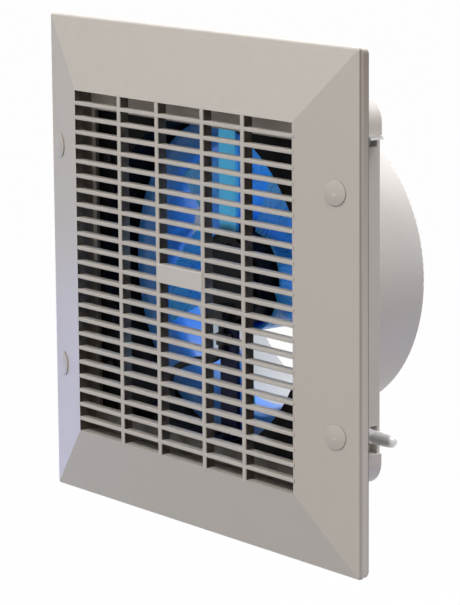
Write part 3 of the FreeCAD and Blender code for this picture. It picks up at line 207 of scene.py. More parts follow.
class TrimLook(PropertyGroup):
    """Finish of the seals, the cable parts and the terminals."""

    gasket: colour_property("Gasket Colour", "Grey foam rubber behind the flange", (0.27, 0.26, 0.26))
    fitting: colour_property("Fitting Colour", "Dark grey of gland, bush, clip and boot",
                             (0.045, 0.045, 0.05))
    sheath: colour_property("Sheath Colour", "Black sheath of the motor lead", (0.02, 0.02, 0.022))
    block: colour_property("Terminal Block Colour", "Milky white of the terminal block", (0.72, 0.70, 0.65))
    cell_size: length_property("Foam Cell", "Width of one cell in the gasket foam", 0.0007)


class ImpellerShape(PropertyGroup):
    """Sizes of the moulded impeller, which follow its solid."""

    blades: IntProperty(name="Blades", description="Number of blades", default=5, min=2, max=12)
    first: angle_property("First Blade", "Angle of the first blade from +X towards +Z", 43.0)
    hub_radius: length_property("Hub Radius", "Outside of the hub cup", 0.029)
    hub_wall: length_property("Hub Wall", "Wall of the hub cup", 0.002)
    hub_depth: length_property("Hub Depth", "Length of the hub cup along the axis", 0.025)
    boss_length: length_property("Boss Length", "Length of the boss behind the hub cup", 0.006)
    boss_radius: length_property("Boss Radius", "Outside of the boss behind the hub", 0.0065)
    bore_radius: length_property("Bore Radius", "Hole for the shaft", 0.00252)
    tip_radius: length_property("Tip Radius", "Circle that the blade tips follow", 0.0685)
    root_plane: length_property("Root Plane", "Distance from the axis of a blade's root section", 0.0252)
    tip_plane: length_property("Tip Plane", "Distance from the axis of a blade's tip section", 0.070)
    root_chord: length_property("Root Chord", "Width of a blade at its root", 0.032)
    tip_chord: length_property("Tip Chord", "Width of a blade at its tip", 0.060)
    root_angle: angle_property("Root Pitch", "Pitch of a blade at its root", 44.0)
    tip_angle: angle_property("Tip Pitch", "Pitch of a blade at its tip", 25.0)
    camber: share_property("Camber", "Rise of a blade's curve over its width", 0.10)
    thickness: length_property("Blade Thickness", "Thickness in the middle of a blade", 0.0018)
    blade_set: length_property("Blade Set", "How far the blades' middle lies behind the hub's front rim",
                               0.009)
    root_fillet: length_property("Root Fillet", "How far a blade's thick root reaches along it", 0.0016)
    root_swell: share_property("Root Swell", "How much thicker a blade is at its root", 0.9)
    boss_fillet: length_property("Boss Fillet", "Rounding between the hub cup and the boss", 0.0022)
    boss_edge: length_property("Boss Edge", "Broken edge at the end of the boss", 0.0006)


class SpringShape(PropertyGroup):
    """Sizes of the latch springs, which fill the boxes of their solids."""

    turns: IntProperty(name="Turns", description="Number of turns", default=6, min=1, max=30)
    wire_radius: length_property("Wire Radius", "Half the thickness of the wire", 0.00035)
    pressed: share_property("Pressed Length", "Length when the plunger is pressed in, over the free length",
                            0.25)


class StudioSetup(PropertyGroup):
    """Camera, lamps and floor."""

    azimuth: angle_property("Azimuth", "How far the camera stands to the right of the panel's front", 52.6676)
    elevation: angle_property("Elevation", "How far the camera stands above the panel's middle", 10.4338)
    roll: angle_property("Roll", "Lean of the camera", -0.4535)
    distance: length_property("Distance", "From the camera to the point it looks at", 1.545)
    aim: FloatVectorProperty(name="Aim", description="Point that the camera looks at, with Y from the front",
                             default=(0.02054, 0.0172, -0.00809), size=3, subtype="TRANSLATION")
    lens: FloatProperty(name="Lens", description="Focal length", default=180.35, min=1.0, unit="CAMERA")
    key: power_property("Key Lamp", "Large soft lamp above and in front", 36.0)
    fill: power_property("Fill Lamp", "Soft warm lamp to the right", 2.1)
    top: power_property("Top Lamp", "Soft, slightly cool lamp above, to the right and behind", 25.0)
    rear: power_property("Rear Lamp", "Soft lamp behind, on the left", 14.0)
    duct: power_property("Duct Lamp", "Blue lamp whose narrow beam shines into the spigot from behind", 12.0)
    beam: angle_property("Duct Beam", "Width of the duct lamp's beam", 11.5)
    cool: power_property("Cool Lamp", "Faint cool lamp low on the left", 0.5)
    low: power_property("Low Lamp", "Faint cool lamp low on the right, behind", 0.35)
    ambient: share_property("Ambient", "Level of the light from all round", 0.205)
    floor: colour_property("Floor Colour", "Pale floor", (0.50, 0.50, 0.50))
    floor_drop: length_property("Floor Drop", "How far the floor lies below the panel", 0.35)


class Shade:
    """A value in a shader. Arithmetic on it adds Math nodes."""

    def __init__(self, graph, socket):
        self.graph = graph
        self.socket = socket

    def __add__(self, other):
        return self.graph.math("ADD", self, other)

    def __radd__(self, other):
        return self.graph.math("ADD", other, self)

    def __sub__(self, other):
        return self.graph.math("SUBTRACT", self, other)

    def __rsub__(self, other):
        return self.graph.math("SUBTRACT", other, self)

    def __mul__(self, other):
        return self.graph.math("MULTIPLY", self, other)

    def __rmul__(self, other):
        return self.graph.math("MULTIPLY", other, self)

    def __truediv__(self, other):
        return self.graph.math("DIVIDE", self, other)

    def __rtruediv__(self, other):
        return self.graph.math("DIVIDE", other, self)


class Graph:
    """Node tree of one material or world."""

    def __init__(self, owner):
        owner.use_nodes = True
        self.tree = owner.node_tree
        self.tree.nodes.clear()

    def node(self, kind, settings=None, sockets=None, out=0):
        """One node: its type, its settings, then the values or links of its sockets."""
        made = self.tree.nodes.new(kind)
        for name, value in (settings or {}).items():
            if name == "stops":
                self.set_stops(made.color_ramp, value)
            else:
                setattr(made, name, value)
        for name, value in (sockets or {}).items():
            self.feed(made.inputs[name], value)
        return Shade(self, made.outputs[out]) if made.outputs else made

    def feed(self, socket, value):
        if isinstance(value, Shade):
            self.tree.links.new(value.socket, socket)
        elif socket.type == "RGBA" and len(value) == 3:
            socket.default_value = (*value, 1.0)
        else:
            socket.default_value = value

    def set_stops(self, ramp, stops):
        while len(ramp.elements) < len(stops):
            ramp.elements.new(1.0)
        for element, (place, level) in zip(ramp.elements, stops):
            element.position = place
            element.color = (level, level, level, 1.0)

    def math(self, operation, *values):
        return self.node("ShaderNodeMath", {"operation": operation}, dict(enumerate(values)))

    def clamp(self, value):
        return self.node("ShaderNodeClamp", {}, {"Value": value})

    def vector(self, operation, a, b):
        return self.node("ShaderNodeVectorMath", {"operation": operation}, {0: a, 1: b})

    def mix(self, share, a, b):
        """Colour between a and b."""
        return self.node("ShaderNodeMix", {"data_type": "RGBA"}, {0: share, 6: a, 7: b}, out=2)

    def place(self):
        return self.node("ShaderNodeTexCoord", out="Object")

    def axis(self, vector, name):
        """The X, Y or Z of a vector."""
        return self.node("ShaderNodeSeparateXYZ", {}, {"Vector": vector}, out=name)

    def normal(self):
        return self.node("ShaderNodeNewGeometry", out="Normal")

    def absolute(self, value):
        return self.math("ABSOLUTE", value)

    def noise(self, place, size, detail=2.0, roughness=0.5):
        """Soft noise whose lumps are about size wide."""
        return self.node("ShaderNodeTexNoise", {},
                         {"Vector": place, "Scale": 1.0 / size, "Detail": detail, "Roughness": roughness})

    def cells(self, place, size):
        """Distance from the middle of the nearest cell, over the cell's size."""
        return self.node("ShaderNodeTexVoronoi", {"feature": "F1"}, {"Vector": place, "Scale": 1.0 / size},
                         out="Distance")

    def ramp(self, value, *stops):
        return self.node("ShaderNodeValToRGB", {"stops": stops}, {"Fac": value})

    def waves(self, value, pitch):
        """Ridges from 0 to 1, pitch apart."""
        return 0.5 + 0.5 * self.math("SINE", value * (2.0 * math.pi / pitch))

    def radius(self, place):
        """Distance from the fan axis."""
        flat = self.vector("MULTIPLY", place, (1.0, 0.0, 1.0))
        return self.node("ShaderNodeVectorMath", {"operation": "LENGTH"}, {0: flat}, out="Value")

    def upward(self):
        """1 on faces that look up, 0 on upright ones and those that look down."""
        return self.clamp(self.axis(self.normal(), "Z"))

    def dust(self, place, size, detail, share):
        """Patchy dust on faces that look up."""
        return self.clamp(self.upward() * self.noise(place, size, detail) * share)

    def bump(self, height, depth, strength=1.0):
        return self.node("ShaderNodeBump", {}, {"Height": height, "Distance": depth, "Strength": strength})

    def surface(self, sockets):
        shader = self.node("ShaderNodeBsdfPrincipled", {}, sockets)
        self.node("ShaderNodeOutputMaterial", {}, {"Surface": shader})

    def background_rays(self):
        """1 for rays that should see the plain white background."""
        seen = [self.node("ShaderNodeLightPath", out=name)
                for name in ("Is Camera Ray", "Is Glossy Ray", "Is Transmission Ray")]
        return self.clamp(seen[0] + seen[1] + seen[2])


def new_material(name):
    """Material, its node tree and the place on the part that its patterns follow."""
    material = bpy.data.materials.new(name)
    g = Graph(material)
    return material, g, g.place()


def toned(colour, share):
    """The colour made darker, or lighter where share is over 1."""
    return tuple(channel * share for channel in colour)


def painted_cell_shade(g, place, look):
    """Painted shade, dark brown, on the upright sides of the grille's cells, darkest in front, and on the low
    ledge.
    """
    x, y, z = [g.axis(place, name) for name in "XYZ"]
    upright = g.ramp(g.absolute(g.axis(g.normal(), "X")), (0.6, 0.0), (0.9, 1.0))
    within = g.math("LESS_THAN", g.math("MAXIMUM", g.absolute(x), g.absolute(z)), look.grille_half)
    depth = g.clamp((y - cad_low.y) / look.cell_depth)
    ledge = g.math("LESS_THAN", z, 0.0) * g.math("GREATER_THAN", depth, 0.9) * 0.75
    patchy = 0.8 + 0.4 * g.noise(place, 0.005, 3.0)
    sides = upright * (1.0 - 0.35 * depth)
    return g.clamp(g.math("MAXIMUM", sides, ledge) * within * patchy * look.cell_shade_share)


def side_edges(g, place, look):
    """1 on the left and right edges of panel and flange, and the height there from 0 to 1."""
    outer = g.math("GREATER_THAN", g.absolute(g.axis(place, "X")), look.skirt_half)
    height = g.clamp((g.axis(place, "Z") - cad_low.z) / (cad_high.z - cad_low.z))
    return outer, height


def painted_seam_shade(g, place, look):
    """Painted shadow line along the front edge of the panel's side skirts, darker towards the top."""
    outer, height = side_edges(g, place, look)
    line = g.ramp((g.axis(place, "Y") - cad_low.y - look.skirt_front) / look.skirt_depth,
                  (0.0, 0.0), (0.15, 1.0), (0.5, 0.8), (1.0, 0.1))
    return outer * line * (0.5 + 0.5 * height) * look.seam_shade_share


def painted_edge_shade(g, place, look):
    """Painted shade on the left and right edges of the flange, darker towards the top."""
    outer, height = side_edges(g, place, look)
    return outer * height * height * look.edge_shade_share


def settled_dust(g, place, look):
    """Dust on faces that look up."""
    return g.dust(place, 0.006, 3.0, 2.0 * look.dust_share)


def painted_cap_side_shade(g, place, look):
    """Painted shade on the low side walls of the screw caps, which don't look to the front."""
    return g.ramp(1.0 + g.axis(g.normal(), "Y"), (0.3, 0.0), (0.55, 1.0)) * look.cap_side_shade_share


def moulded_shell(name, colour, look, *dirt_and_shade_layers):
    """Spark-textured beige-grey plastic with faint flow marks; each added layer of dust and painted shade is
    its function and its colour.
    """
    material, g, place = new_material(name)
    flow = g.noise(g.vector("MULTIPLY", place, (1.0, 1.0, 0.35)), 0.05, 3.0)
    grain = g.noise(place, look.grain_size, 2.0, 0.6)
    pits = g.cells(place, look.grain_size * 0.8)
    speck = g.ramp(g.cells(place, 0.0045), (0.0, 1.0), (0.045, 0.0))
    tone = g.mix(flow * look.flow_share, colour, toned(colour, 0.72))
    tone = g.mix(speck * 0.25, tone, toned(colour, 0.45))
    for dirt_and_shade, layer_colour in dirt_and_shade_layers:
        tone = g.mix(dirt_and_shade(g, place, look), tone, layer_colour)
    rough = look.roughness + (grain - 0.5) * 0.12 + (flow - 0.5) * 0.10
    g.surface({"Base Color": tone, "Roughness": rough, "IOR": PLASTIC_IOR,
               "Normal": g.bump(grain * 0.6 + pits * 0.4, look.grain_depth, 0.6)})
    return material


def satin_badge(look):
    """Smoother plate with a faint brushed lay."""
    material, g, place = new_material("badge_satin")
    lay = g.noise(g.vector("MULTIPLY", place, (0.04, 1.0, 1.0)), 0.0006, 2.0)
    wash = g.noise(place, 0.02, 2.0)
    tone = g.mix(wash * 0.15, look.badge, toned(look.badge, 0.8))
    g.surface({"Base Color": tone, "Roughness": 0.30 + lay * 0.12, "IOR": PLASTIC_IOR,
               "Normal": g.bump(lay, 0.00002, 0.5)})
    return material


def foam_gasket(trim):
    """Closed-cell foam rubber with an open, pitted skin."""
    material, g, place = new_material("gasket_foam")
    cell = g.cells(place, trim.cell_size)
    fine = g.cells(place, trim.cell_size * 0.4)
    worn = g.noise(place, 0.012, 3.0)
    tone = g.mix(cell, toned(trim.gasket, 0.55), trim.gasket)
    tone = g.mix(worn * 0.25, tone, WORN_FOAM)
    g.surface({"Base Color": tone, "Roughness": 0.78 + worn * 0.15, "IOR": RUBBER_IOR,
               "Normal": g.bump(cell * 0.7 + fine * 0.3, 0.00018, 0.8)})
    return material


def black_moulding(name, colour, dust):
    """Black plastic with a fine grain, a little shine and grey dust on top."""
    material, g, place = new_material(name)
    grain = g.noise(place, 0.0007, 2.0)
    cloud = g.noise(place, 0.03, 3.0)
    settled = g.dust(place, 0.004, 4.0, dust)
    tone = g.mix(cloud * 0.5, colour, toned(colour, 1.7))
    tone = g.mix(settled, tone, GREY_DUST)
    g.surface({"Base Color": tone, "Roughness": 0.38 + grain * 0.12 + settled * 0.3,
               "Specular IOR Level": 0.06, "Normal": g.bump(grain, 0.00004, 0.6)})
    return material


def ring_moulding(look):
    """Blue gloss plastic with faint turned rings from its mould."""
    material, g, place = new_material("inlet_ring_blue")
    rings = g.waves(g.radius(place), 0.0011)
    cloud = g.noise(place, 0.025, 3.0)
    smear = g.noise(g.vector("MULTIPLY", place, (1.0, 0.3, 1.0)), 0.008, 3.0)
    tone = g.mix(cloud * 0.45, look.ring, toned(look.ring, 0.6))
    g.surface({"Base Color": tone, "Roughness": 0.24 + smear * 0.14 + rings * 0.03, "IOR": PLASTIC_IOR,
               "Normal": g.bump(rings * 0.4 + smear * 0.6, 0.00003, 0.5)})
    return material


def impeller_moulding(look, shape):
    """Blue translucent plastic, lighter towards the thin tips, with flow lines from the hub."""
    material, g, place = new_material("impeller_blue")
    radius = g.radius(place)
    out = g.clamp((radius - shape.hub_radius) / (shape.tip_radius - shape.hub_radius))
    around = g.math("ARCTAN2", g.axis(place, "Z"), g.axis(place, "X"))
    flow = g.waves(around + g.noise(place, 0.02, 2.0) * 0.5, 0.09)
    cloud = g.noise(place, 0.012, 3.0)
    tone = g.mix(out * 0.55 + flow * 0.08 + cloud * 0.12, look.blade, look.blade_thin)
    g.surface({"Base Color": tone, "Roughness": 0.22 + cloud * 0.10 + flow * 0.03, "IOR": BLADE_IOR,
               "Subsurface Weight": look.glow, "Subsurface Radius": (0.25, 0.6, 1.0),
               "Subsurface Scale": look.glow_depth, "Transmission Weight": 0.12,
               "Normal": g.bump(flow * 0.3 + cloud * 0.7, 0.00004, 0.4)})
    return material


def zinc_plate(name, colour):
    """Bright zinc with a faint crystal pattern and dull patches."""
    material, g, place = new_material(name)
    crystal = g.cells(place, 0.0016)
    dull = g.noise(place, 0.005, 4.0, 0.6)
    scratch = g.noise(g.vector("MULTIPLY", place, (0.06, 1.0, 1.0)), 0.0004, 2.0)
    tone = g.mix(g.clamp(dull * 0.5 + crystal * 0.2), colour, toned(colour, 0.62))
    g.surface({"Base Color": tone, "Metallic": 1.0, "Roughness": 0.20 + dull * 0.22 + scratch * 0.08,
               "Normal": g.bump(crystal * 0.4 + scratch * 0.6, 0.00002, 0.5)})
    return material


def turned_steel(name, colour):
    """Lathe-turned steel with fine rings along X and a dull film of oil."""
    material, g, place = new_material(name)
    rings = g.waves(g.axis(place, "X") + g.noise(place, 0.004, 1.0) * 0.0002, 0.00035)
    oil = g.noise(place, 0.004, 3.0)
    tone = g.mix(oil * 0.25, colour, toned(colour, 0.6))
    g.surface({"Base Color": tone, "Metallic": 0.62 - oil * 0.3,
               "Roughness": 0.30 + oil * 0.14 + rings * 0.05, "Normal": g.bump(rings, 0.00001, 0.5)})
    return material


def black_paint(name, colour):
    """Semi-gloss black paint with orange peel and dust on top."""
    material, g, place = new_material(name)
    peel = g.noise(place, 0.0016, 1.0)
    cloud = g.noise(place, 0.02, 3.0)
    settled = g.dust(place, 0.003, 4.0, 0.5)
    tone = g.mix(cloud * 0.4, colour, toned(colour, 1.8))
    tone = g.mix(settled, tone, PAINT_DUST)
    g.surface({"Base Color": tone, "Roughness": 0.34 + peel * 0.10 + settled * 0.3,
               "Specular IOR Level": 0.1, "Normal": g.bump(peel, 0.00005, 0.5)})
    return material


def strap_enamel(look):
    """Enamel: metallic blue on the upper arm and darker below, which is painted light and shade; black and
    oily round the hub.
    """
    material, g, place = new_material("strap_enamel")
    peel = g.noise(place, 0.0016, 1.0)
    cloud = g.noise(place, 0.02, 3.0)
    # Painted light: lighter and more metallic higher up, painted shade lower down
    height = g.clamp(0.5 + g.axis(place, "Z") / look.strap_light_fade + (cloud - 0.5) * 0.5)
    arm = g.clamp((g.radius(place) - look.hub_edge) / look.hub_fade)
    tone = g.mix(height, look.strap_painted_shade, look.strap)
    tone = g.mix(arm, look.paint, tone)
    g.surface({"Base Color": tone, "Metallic": height * arm * 0.9,
               "Roughness": 0.26 + peel * 0.10 + cloud * 0.06, "Specular IOR Level": 0.15,
               "Normal": g.bump(peel, 0.00005, 0.5)})
    return material


def black_oxide(name, colour):
    """Blackened steel with thin, rubbed patches."""
    material, g, place = new_material(name)
    rubbed = g.ramp(g.noise(place, 0.0018, 4.0, 0.6), (0.5, 0.0), (0.7, 1.0))
    grain = g.noise(place, 0.0003, 2.0)
    tone = g.mix(rubbed * 0.4, colour, RUBBED_STEEL)
    g.surface({"Base Color": tone, "Metallic": 0.7, "Roughness": 0.40 + grain * 0.15 - rubbed * 0.1,
               "Normal": g.bump(grain, 0.00002, 0.5)})
    return material


def stacked_core(name, colour):
    """Thin steel sheets stacked along the axis."""
    material, g, place = new_material(name)
    sheets = g.waves(g.axis(place, "Y"), 0.0007)
    rust = g.noise(place, 0.006, 4.0, 0.6)
    tone = g.mix(sheets * 0.5, colour, toned(colour, 0.45))
    tone = g.mix(g.ramp(rust, (0.55, 0.0), (0.75, 0.35)), tone, RUST)
    g.surface({"Base Color": tone, "Metallic": 0.85, "Roughness": 0.36 + rust * 0.2,
               "Normal": g.bump(sheets, 0.00012, 0.7)})
    return material


def wound_wire(name, colour):
    """Enamelled wire laid in turns, with lacquer between them."""
    material, g, place = new_material(name)
    turns = g.waves(g.radius(place) + g.axis(place, "Y") * 0.3, 0.0006)
    lacquer = g.noise(place, 0.003, 3.0)
    tone = g.mix(turns, toned(colour, 0.35), colour)
    tone = g.mix(lacquer * 0.3, tone, LACQUER)
    g.surface({"Base Color": tone, "Metallic": 0.55, "Roughness": 0.24 + lacquer * 0.18,
               "Normal": g.bump(turns, 0.0002, 0.8)})
    return material


def sintered_bush(name, colour):
    """Porous bronze, dark with oil in its pores."""
    material, g, place = new_material(name)
    pores = g.cells(place, 0.0004)
    oil = g.noise(place, 0.003, 3.0)
    tone = g.mix(g.ramp(pores, (0.15, 1.0), (0.45, 0.0)), colour, toned(colour, 0.3))
    tone = g.mix(oil * 0.3, tone, toned(colour, 0.5))
    g.surface({"Base Color": tone, "Metallic": 0.9, "Roughness": 0.34 + oil * 0.2,
               "Normal": g.bump(pores, 0.00003, 0.6)})
    return material


def milky_block(trim):
    """Milky terminal plastic with faint flow clouds."""
    material, g, place = new_material("terminal_milky")
    cloud = g.noise(place, 0.006, 3.0)
    grain = g.noise(place, 0.0006, 2.0)
    tone = g.mix(cloud * 0.3, trim.block, toned(trim.block, 0.82))
    g.surface({"Base Color": tone, "Roughness": 0.28 + grain * 0.1, "IOR": PLASTIC_IOR,
               "Subsurface Weight": 0.2, "Subsurface Radius": (1.0, 0.9, 0.7), "Subsurface Scale": 0.002,
               "Normal": g.bump(grain, 0.00002, 0.5)})
    return material


def dark_fitting(trim):
    """Dark grey nylon with a dry, slightly scuffed skin."""
    material, g, place = new_material("fitting_nylon")
    grain = g.noise(place, 0.0005, 2.0)
    scuff = g.ramp(g.noise(place, 0.002, 5.0, 0.7), (0.52, 0.0), (0.72, 1.0))
    tone = g.mix(scuff * 0.35, trim.fitting, SCUFFED_NYLON)
    g.surface({"Base Color": tone, "Roughness": 0.42 + grain * 0.12 + scuff * 0.12, "IOR": PLASTIC_IOR,
               "Normal": g.bump(grain, 0.00004, 0.6)})
    return material


def lead_sheath(trim):
    """Soft black sheath with faint drag lines and a dusty bloom."""
    material, g, place = new_material("lead_sheath")
    drag = g.noise(g.vector("MULTIPLY", place, (1.0, 1.0, 0.08)), 0.0005, 2.0)
    bloom = g.noise(place, 0.005, 3.0)
    tone = g.mix(bloom * 0.35, trim.sheath, SHEATH_BLOOM)
    g.surface({"Base Color": tone, "Roughness": 0.5 + bloom * 0.2, "IOR": RUBBER_IOR,
               "Normal": g.bump(drag, 0.00004, 0.6)})
    return material


def finish(material, *nodes):
    """Gives the solids of these names one material."""
    for name in nodes:
        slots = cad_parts[name].data.materials
        slots.clear()
        slots.append(material)


class PANELFAN_OT_front_panel(Operator):
    """Textured plastic for the front panel, with dust on the slats, painted shade in the cells and a painted
    shadow line along the skirt seam
    """
    bl_idname = "panel_fan.front_panel"
    bl_label = "Front Panel"

    def execute(self, context):
        look = context.scene.panel_fan_shell
        dirt_and_shade_layers = ((settled_dust, look.dust), (painted_cell_shade, look.cell_shade), (painted_seam_shade, look.dirt_and_shade))
        finish(moulded_shell("front_panel_shell", look.colour, look, *dirt_and_shade_layers), "front_panel")
        return {"FINISHED"}


class PANELFAN_OT_badge(Operator):
    """Satin finish for the bare badge plate"""
    bl_idname = "panel_fan.badge"
    bl_label = "Badge Plate"

    def execute(self, context):
        finish(satin_badge(context.scene.panel_fan_shell), "badge_plate")
        return {"FINISHED"}


class PANELFAN_OT_screw_caps(Operator):
    """Textured plastic for the caps over the panel screws, with painted shade round their sides"""
    bl_idname = "panel_fan.screw_caps"
    bl_label = "Screw Caps"

    def execute(self, context):
        look = context.scene.panel_fan_shell
        finish(moulded_shell("cap_shell", toned(look.colour, 0.97), look, (painted_cap_side_shade, look.dirt_and_shade)),
               "screw_caps")
        return {"FINISHED"}


class PANELFAN_OT_housing(Operator):
    """Textured plastic for the flange and tub, and for the duct spigot behind it, with painted shade on the
    flange's side edges
    """
    bl_idname = "panel_fan.housing"
    bl_label = "Housing and Spigot"

    def execute(self, context):
        look = context.scene.panel_fan_shell
        finish(moulded_shell("housing_shell", toned(look.colour, 1.02), look, (painted_edge_shade, look.dirt_and_shade)),
               "rear_housing", "duct_spigot")
        return {"FINISHED"}


class PANELFAN_OT_gasket(Operator):
    """Foam rubber for the gasket behind the flange"""
    bl_idname = "panel_fan.gasket"
    bl_label = "Flange Gasket"

    def execute(self, context):
        finish(foam_gasket(context.scene.panel_fan_trim), "flange_gasket")
        return {"FINISHED"}


class PANELFAN_OT_chassis(Operator):
    """Black plastic for the chassis and the terminal box"""
    bl_idname = "panel_fan.chassis"
    bl_label = "Chassis and Terminal Box"

    def execute(self, context):
        look = context.scene.panel_fan_air
        finish(black_moulding("chassis_black", look.chassis, 0.5), "fan_chassis")
        finish(black_moulding("terminal_box_black", toned(look.chassis, 1.6), 0.3),
               "terminal_box", "terminal_cover")
        return {"FINISHED"}


class PANELFAN_OT_inlet_ring(Operator):
    """Blue gloss plastic for the inlet ring"""
    bl_idname = "panel_fan.inlet_ring"
    bl_label = "Inlet Ring"

    def execute(self, context):
        finish(ring_moulding(context.scene.panel_fan_air), "inlet_ring")
        return {"FINISHED"}


def between(low, high, share):
    return low + (high - low) * share


def chord_at(shape, share):
    return between(shape.root_chord, shape.tip_chord, share)


def blade_point(shape, share, across, side, swell):
    """Point on a blade: share runs from root to tip, across from edge to edge, side is -1 to 1."""
    chord = chord_at(shape, share)
    turn = between(shape.root_angle, shape.tip_angle, share)
    along = across * chord
    lift = shape.camber * chord * (1.0 - 4.0 * across * across) + side * swell * shape.thickness / 2
    return Vector((between(shape.root_plane, shape.tip_plane, share),
                   shape.blade_set - along * math.sin(turn) - lift * math.cos(turn),
                   along * math.cos(turn) - lift * math.sin(turn)))


def share_at_radius(shape, across, side, radius, halvings=40):
    """Share of the span at which a line along the blade meets a circle about the axis."""
    low, high = SPAN_SEARCH
    for step in range(halvings):
        middle = (low + high) / 2
        point = blade_point(shape, middle, across(middle), side, 1.0)
        if math.hypot(point.x, point.z) < radius:
            low = middle
        else:
            high = middle
    return low


def section_lines(shape, flats, edge_steps):
    """Lines along the blade, once round its section: (where across, side) with half-round edges."""
    edge = shape.thickness / 2

    def line(place, inset, side):
        def across(share):
            return place * (0.5 - edge / chord_at(shape, share) * inset)
        return across, side

    def edge_lines(place, side, turns):
        return [line(place, 1.0 - math.cos(turn), side * math.sin(turn)) for turn in turns]

    turns = [math.pi / 2 * i / edge_steps for i in range(edge_steps)]
    places = [2.0 * i / flats - 1.0 for i in range(flats + 1)]
    lines = []
    for side in (1.0, -1.0):
        lines += edge_lines(-side, side, turns)
        lines += [line(side * place, 1.0, side) for place in places]
        lines += edge_lines(side, side, reversed(turns[1:]))
    return lines


def blade_mesh(shape, rows=14, flats=12, edge_steps=4):
    """Vertices and faces of one blade along +X, trimmed to the hub wall and the tip circle."""
    lines = section_lines(shape, flats, edge_steps)
    root = shape.hub_radius - shape.hub_wall / 2
    span = shape.tip_plane - shape.root_plane
    tip_round = shape.thickness / 2 / span
    verts = []
    for across, side in lines:
        start = share_at_radius(shape, across, side, root)
        end = share_at_radius(shape, across, side, shape.tip_radius)
        for row in range(rows):
            share = between(start, end - tip_round, row / (rows - 1))
            foot = 1.0 + shape.root_swell * math.exp(-(share - start) * span / shape.root_fillet)
            verts.append(blade_point(shape, share, across(share), side, foot))
        for turn in TIP_TURNS:
            share = end - tip_round * (1.0 - math.cos(turn))
            verts.append(blade_point(shape, share, across(share), side, math.sin(turn)))
    count = rows + len(TIP_TURNS)
    faces = []
    for i in range(len(lines)):
        a, b = i * count, (i + 1) % len(lines) * count
        faces += [(a + j + 1, b + j + 1, b + j, a + j) for j in range(count - 1)]
    faces.append([i * count for i in range(len(lines))])
    faces.append([i * count + count - 1 for i in reversed(range(len(lines)))])
    return verts, faces


def hub_profile(shape, corner_steps=6, fillet_steps=5):
    """Closed outline of hub cup and boss: radius, and place along the axis behind the cup's front rim."""
    inner = shape.hub_radius - shape.hub_wall
    floor = shape.hub_depth - shape.hub_wall
    end = shape.hub_depth + shape.boss_length
    lip = shape.hub_wall / 4
    bevel = lip * 0.6
    points = [(shape.bore_radius, floor), (inner - 2 * lip, floor), (inner - bevel, floor - bevel),
              (inner, floor - 2 * lip), (inner, lip), (inner + lip, 0.0),
              (shape.hub_radius - lip, 0.0), (shape.hub_radius, lip)]
    corner = shape.hub_wall
    for step in range(corner_steps + 1):
        turn = math.pi / 2 * step / corner_steps
        points.append((shape.hub_radius - corner * (1.0 - math.cos(turn)),
                       shape.hub_depth - corner * (1.0 - math.sin(turn))))
    for step in range(fillet_steps + 1):
        turn = math.pi / 2 * step / fillet_steps
        points.append((shape.boss_radius + shape.boss_fillet * (1.0 - math.sin(turn)),
                       shape.hub_depth + shape.boss_fillet * (1.0 - math.cos(turn))))
    points += [(shape.boss_radius, end - shape.boss_edge), (shape.boss_radius - shape.boss_edge, end),
               (shape.bore_radius, end)]
    return points


def revolved(profile, segments=96):
    """Vertices and faces of a closed outline turned about the Y axis."""
    verts = []
    for i in range(segments):
        turn = 2.0 * math.pi * i / segments
        verts += [Vector((r * math.cos(turn), y, r * math.sin(turn))) for r, y in profile]
    count = len(profile)
    faces = []
    for i in range(segments):
        a, b = i * count, (i + 1) % segments * count
        faces += [(a + j, a + (j + 1) % count, b + (j + 1) % count, b + j) for j in range(count)]
    return verts, faces


def new_object(name, data):
    made = bpy.data.objects.new(name, data)
    bpy.context.scene.collection.objects.link(made)
    return made


def mesh_piece(name, verts, faces, material, sharp_degrees=40.0):
    """New object from vertices and faces, smooth but for edges sharper than the given angle."""
    mesh = bpy.data.meshes.new(name)
    mesh.from_pydata([tuple(v) for v in verts], [], faces)
    mesh.validate()
    mesh.shade_smooth()
    mesh.set_sharp_from_angle(angle=math.radians(sharp_degrees))
    mesh.materials.append(material)
    return new_object(name, mesh)


class PANELFAN_OT_impeller(Operator):
    """Moulded impeller with rounded blade edges and filleted roots, in place of its plain solid"""
    bl_idname = "panel_fan.impeller"
    bl_label = "Impeller"

    def execute(self, context):
        shape = context.scene.panel_fan_impeller
        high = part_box("impeller")[1]
        seat = Vector((0.0, high.y - shape.hub_depth - shape.boss_length, 0.0))
        verts, faces = revolved(hub_profile(shape))
        blade, blade_faces = blade_mesh(shape)
        for i in range(shape.blades):
            turn = Matrix.Rotation(-shape.first - 2.0 * math.pi * i / shape.blades, 3, "Y")
            base = len(verts)
            verts += [turn @ v for v in blade]
            faces += [[base + k for k in face] for face in blade_faces]
        material = impeller_moulding(context.scene.panel_fan_air, shape)
        piece = mesh_piece("impeller_moulded", [seat + v for v in verts], faces, material)
        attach(piece, "rotor")
        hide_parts("impeller")
        return {"FINISHED"}


def coil_mesh(low, high, shape, hand, steps=32, sides=10):
    """Vertices and faces of a coil along X that fills the box; hand is 1 or -1."""
    middle = (low + high) / 2
    coil = (high.z - low.z) / 2 - shape.wire_radius
    length = high.x - low.x - 2.0 * shape.wire_radius
    count = shape.turns * steps + 1
    verts = []
    for i in range(count):
        share = i / (count - 1)
        turn = hand * 2.0 * math.pi * shape.turns * share
        out = Vector((0.0, math.cos(turn), math.sin(turn)))
        along = Vector((length, 0.0, 0.0)) + out.cross(Vector((-1.0, 0.0, 0.0))) * (
            hand * 2.0 * math.pi * shape.turns * coil)
        side = along.normalized().cross(out)
        centre = Vector((low.x + shape.wire_radius + length * share, middle.y, middle.z)) + out * coil
        for j in range(sides):
            around = 2.0 * math.pi * j / sides
            verts.append(centre + (out * math.cos(around) + side * math.sin(around)) * shape.wire_radius)
    faces = []
    for i in range(count - 1):
        a, b = i * sides, (i + 1) * sides
        faces += [(a + (j + 1) % sides, b + (j + 1) % sides, b + j, a + j) for j in range(sides)]
    faces += [list(reversed(range(sides))), list(range((count - 1) * sides, count * sides))]
    return verts, faces


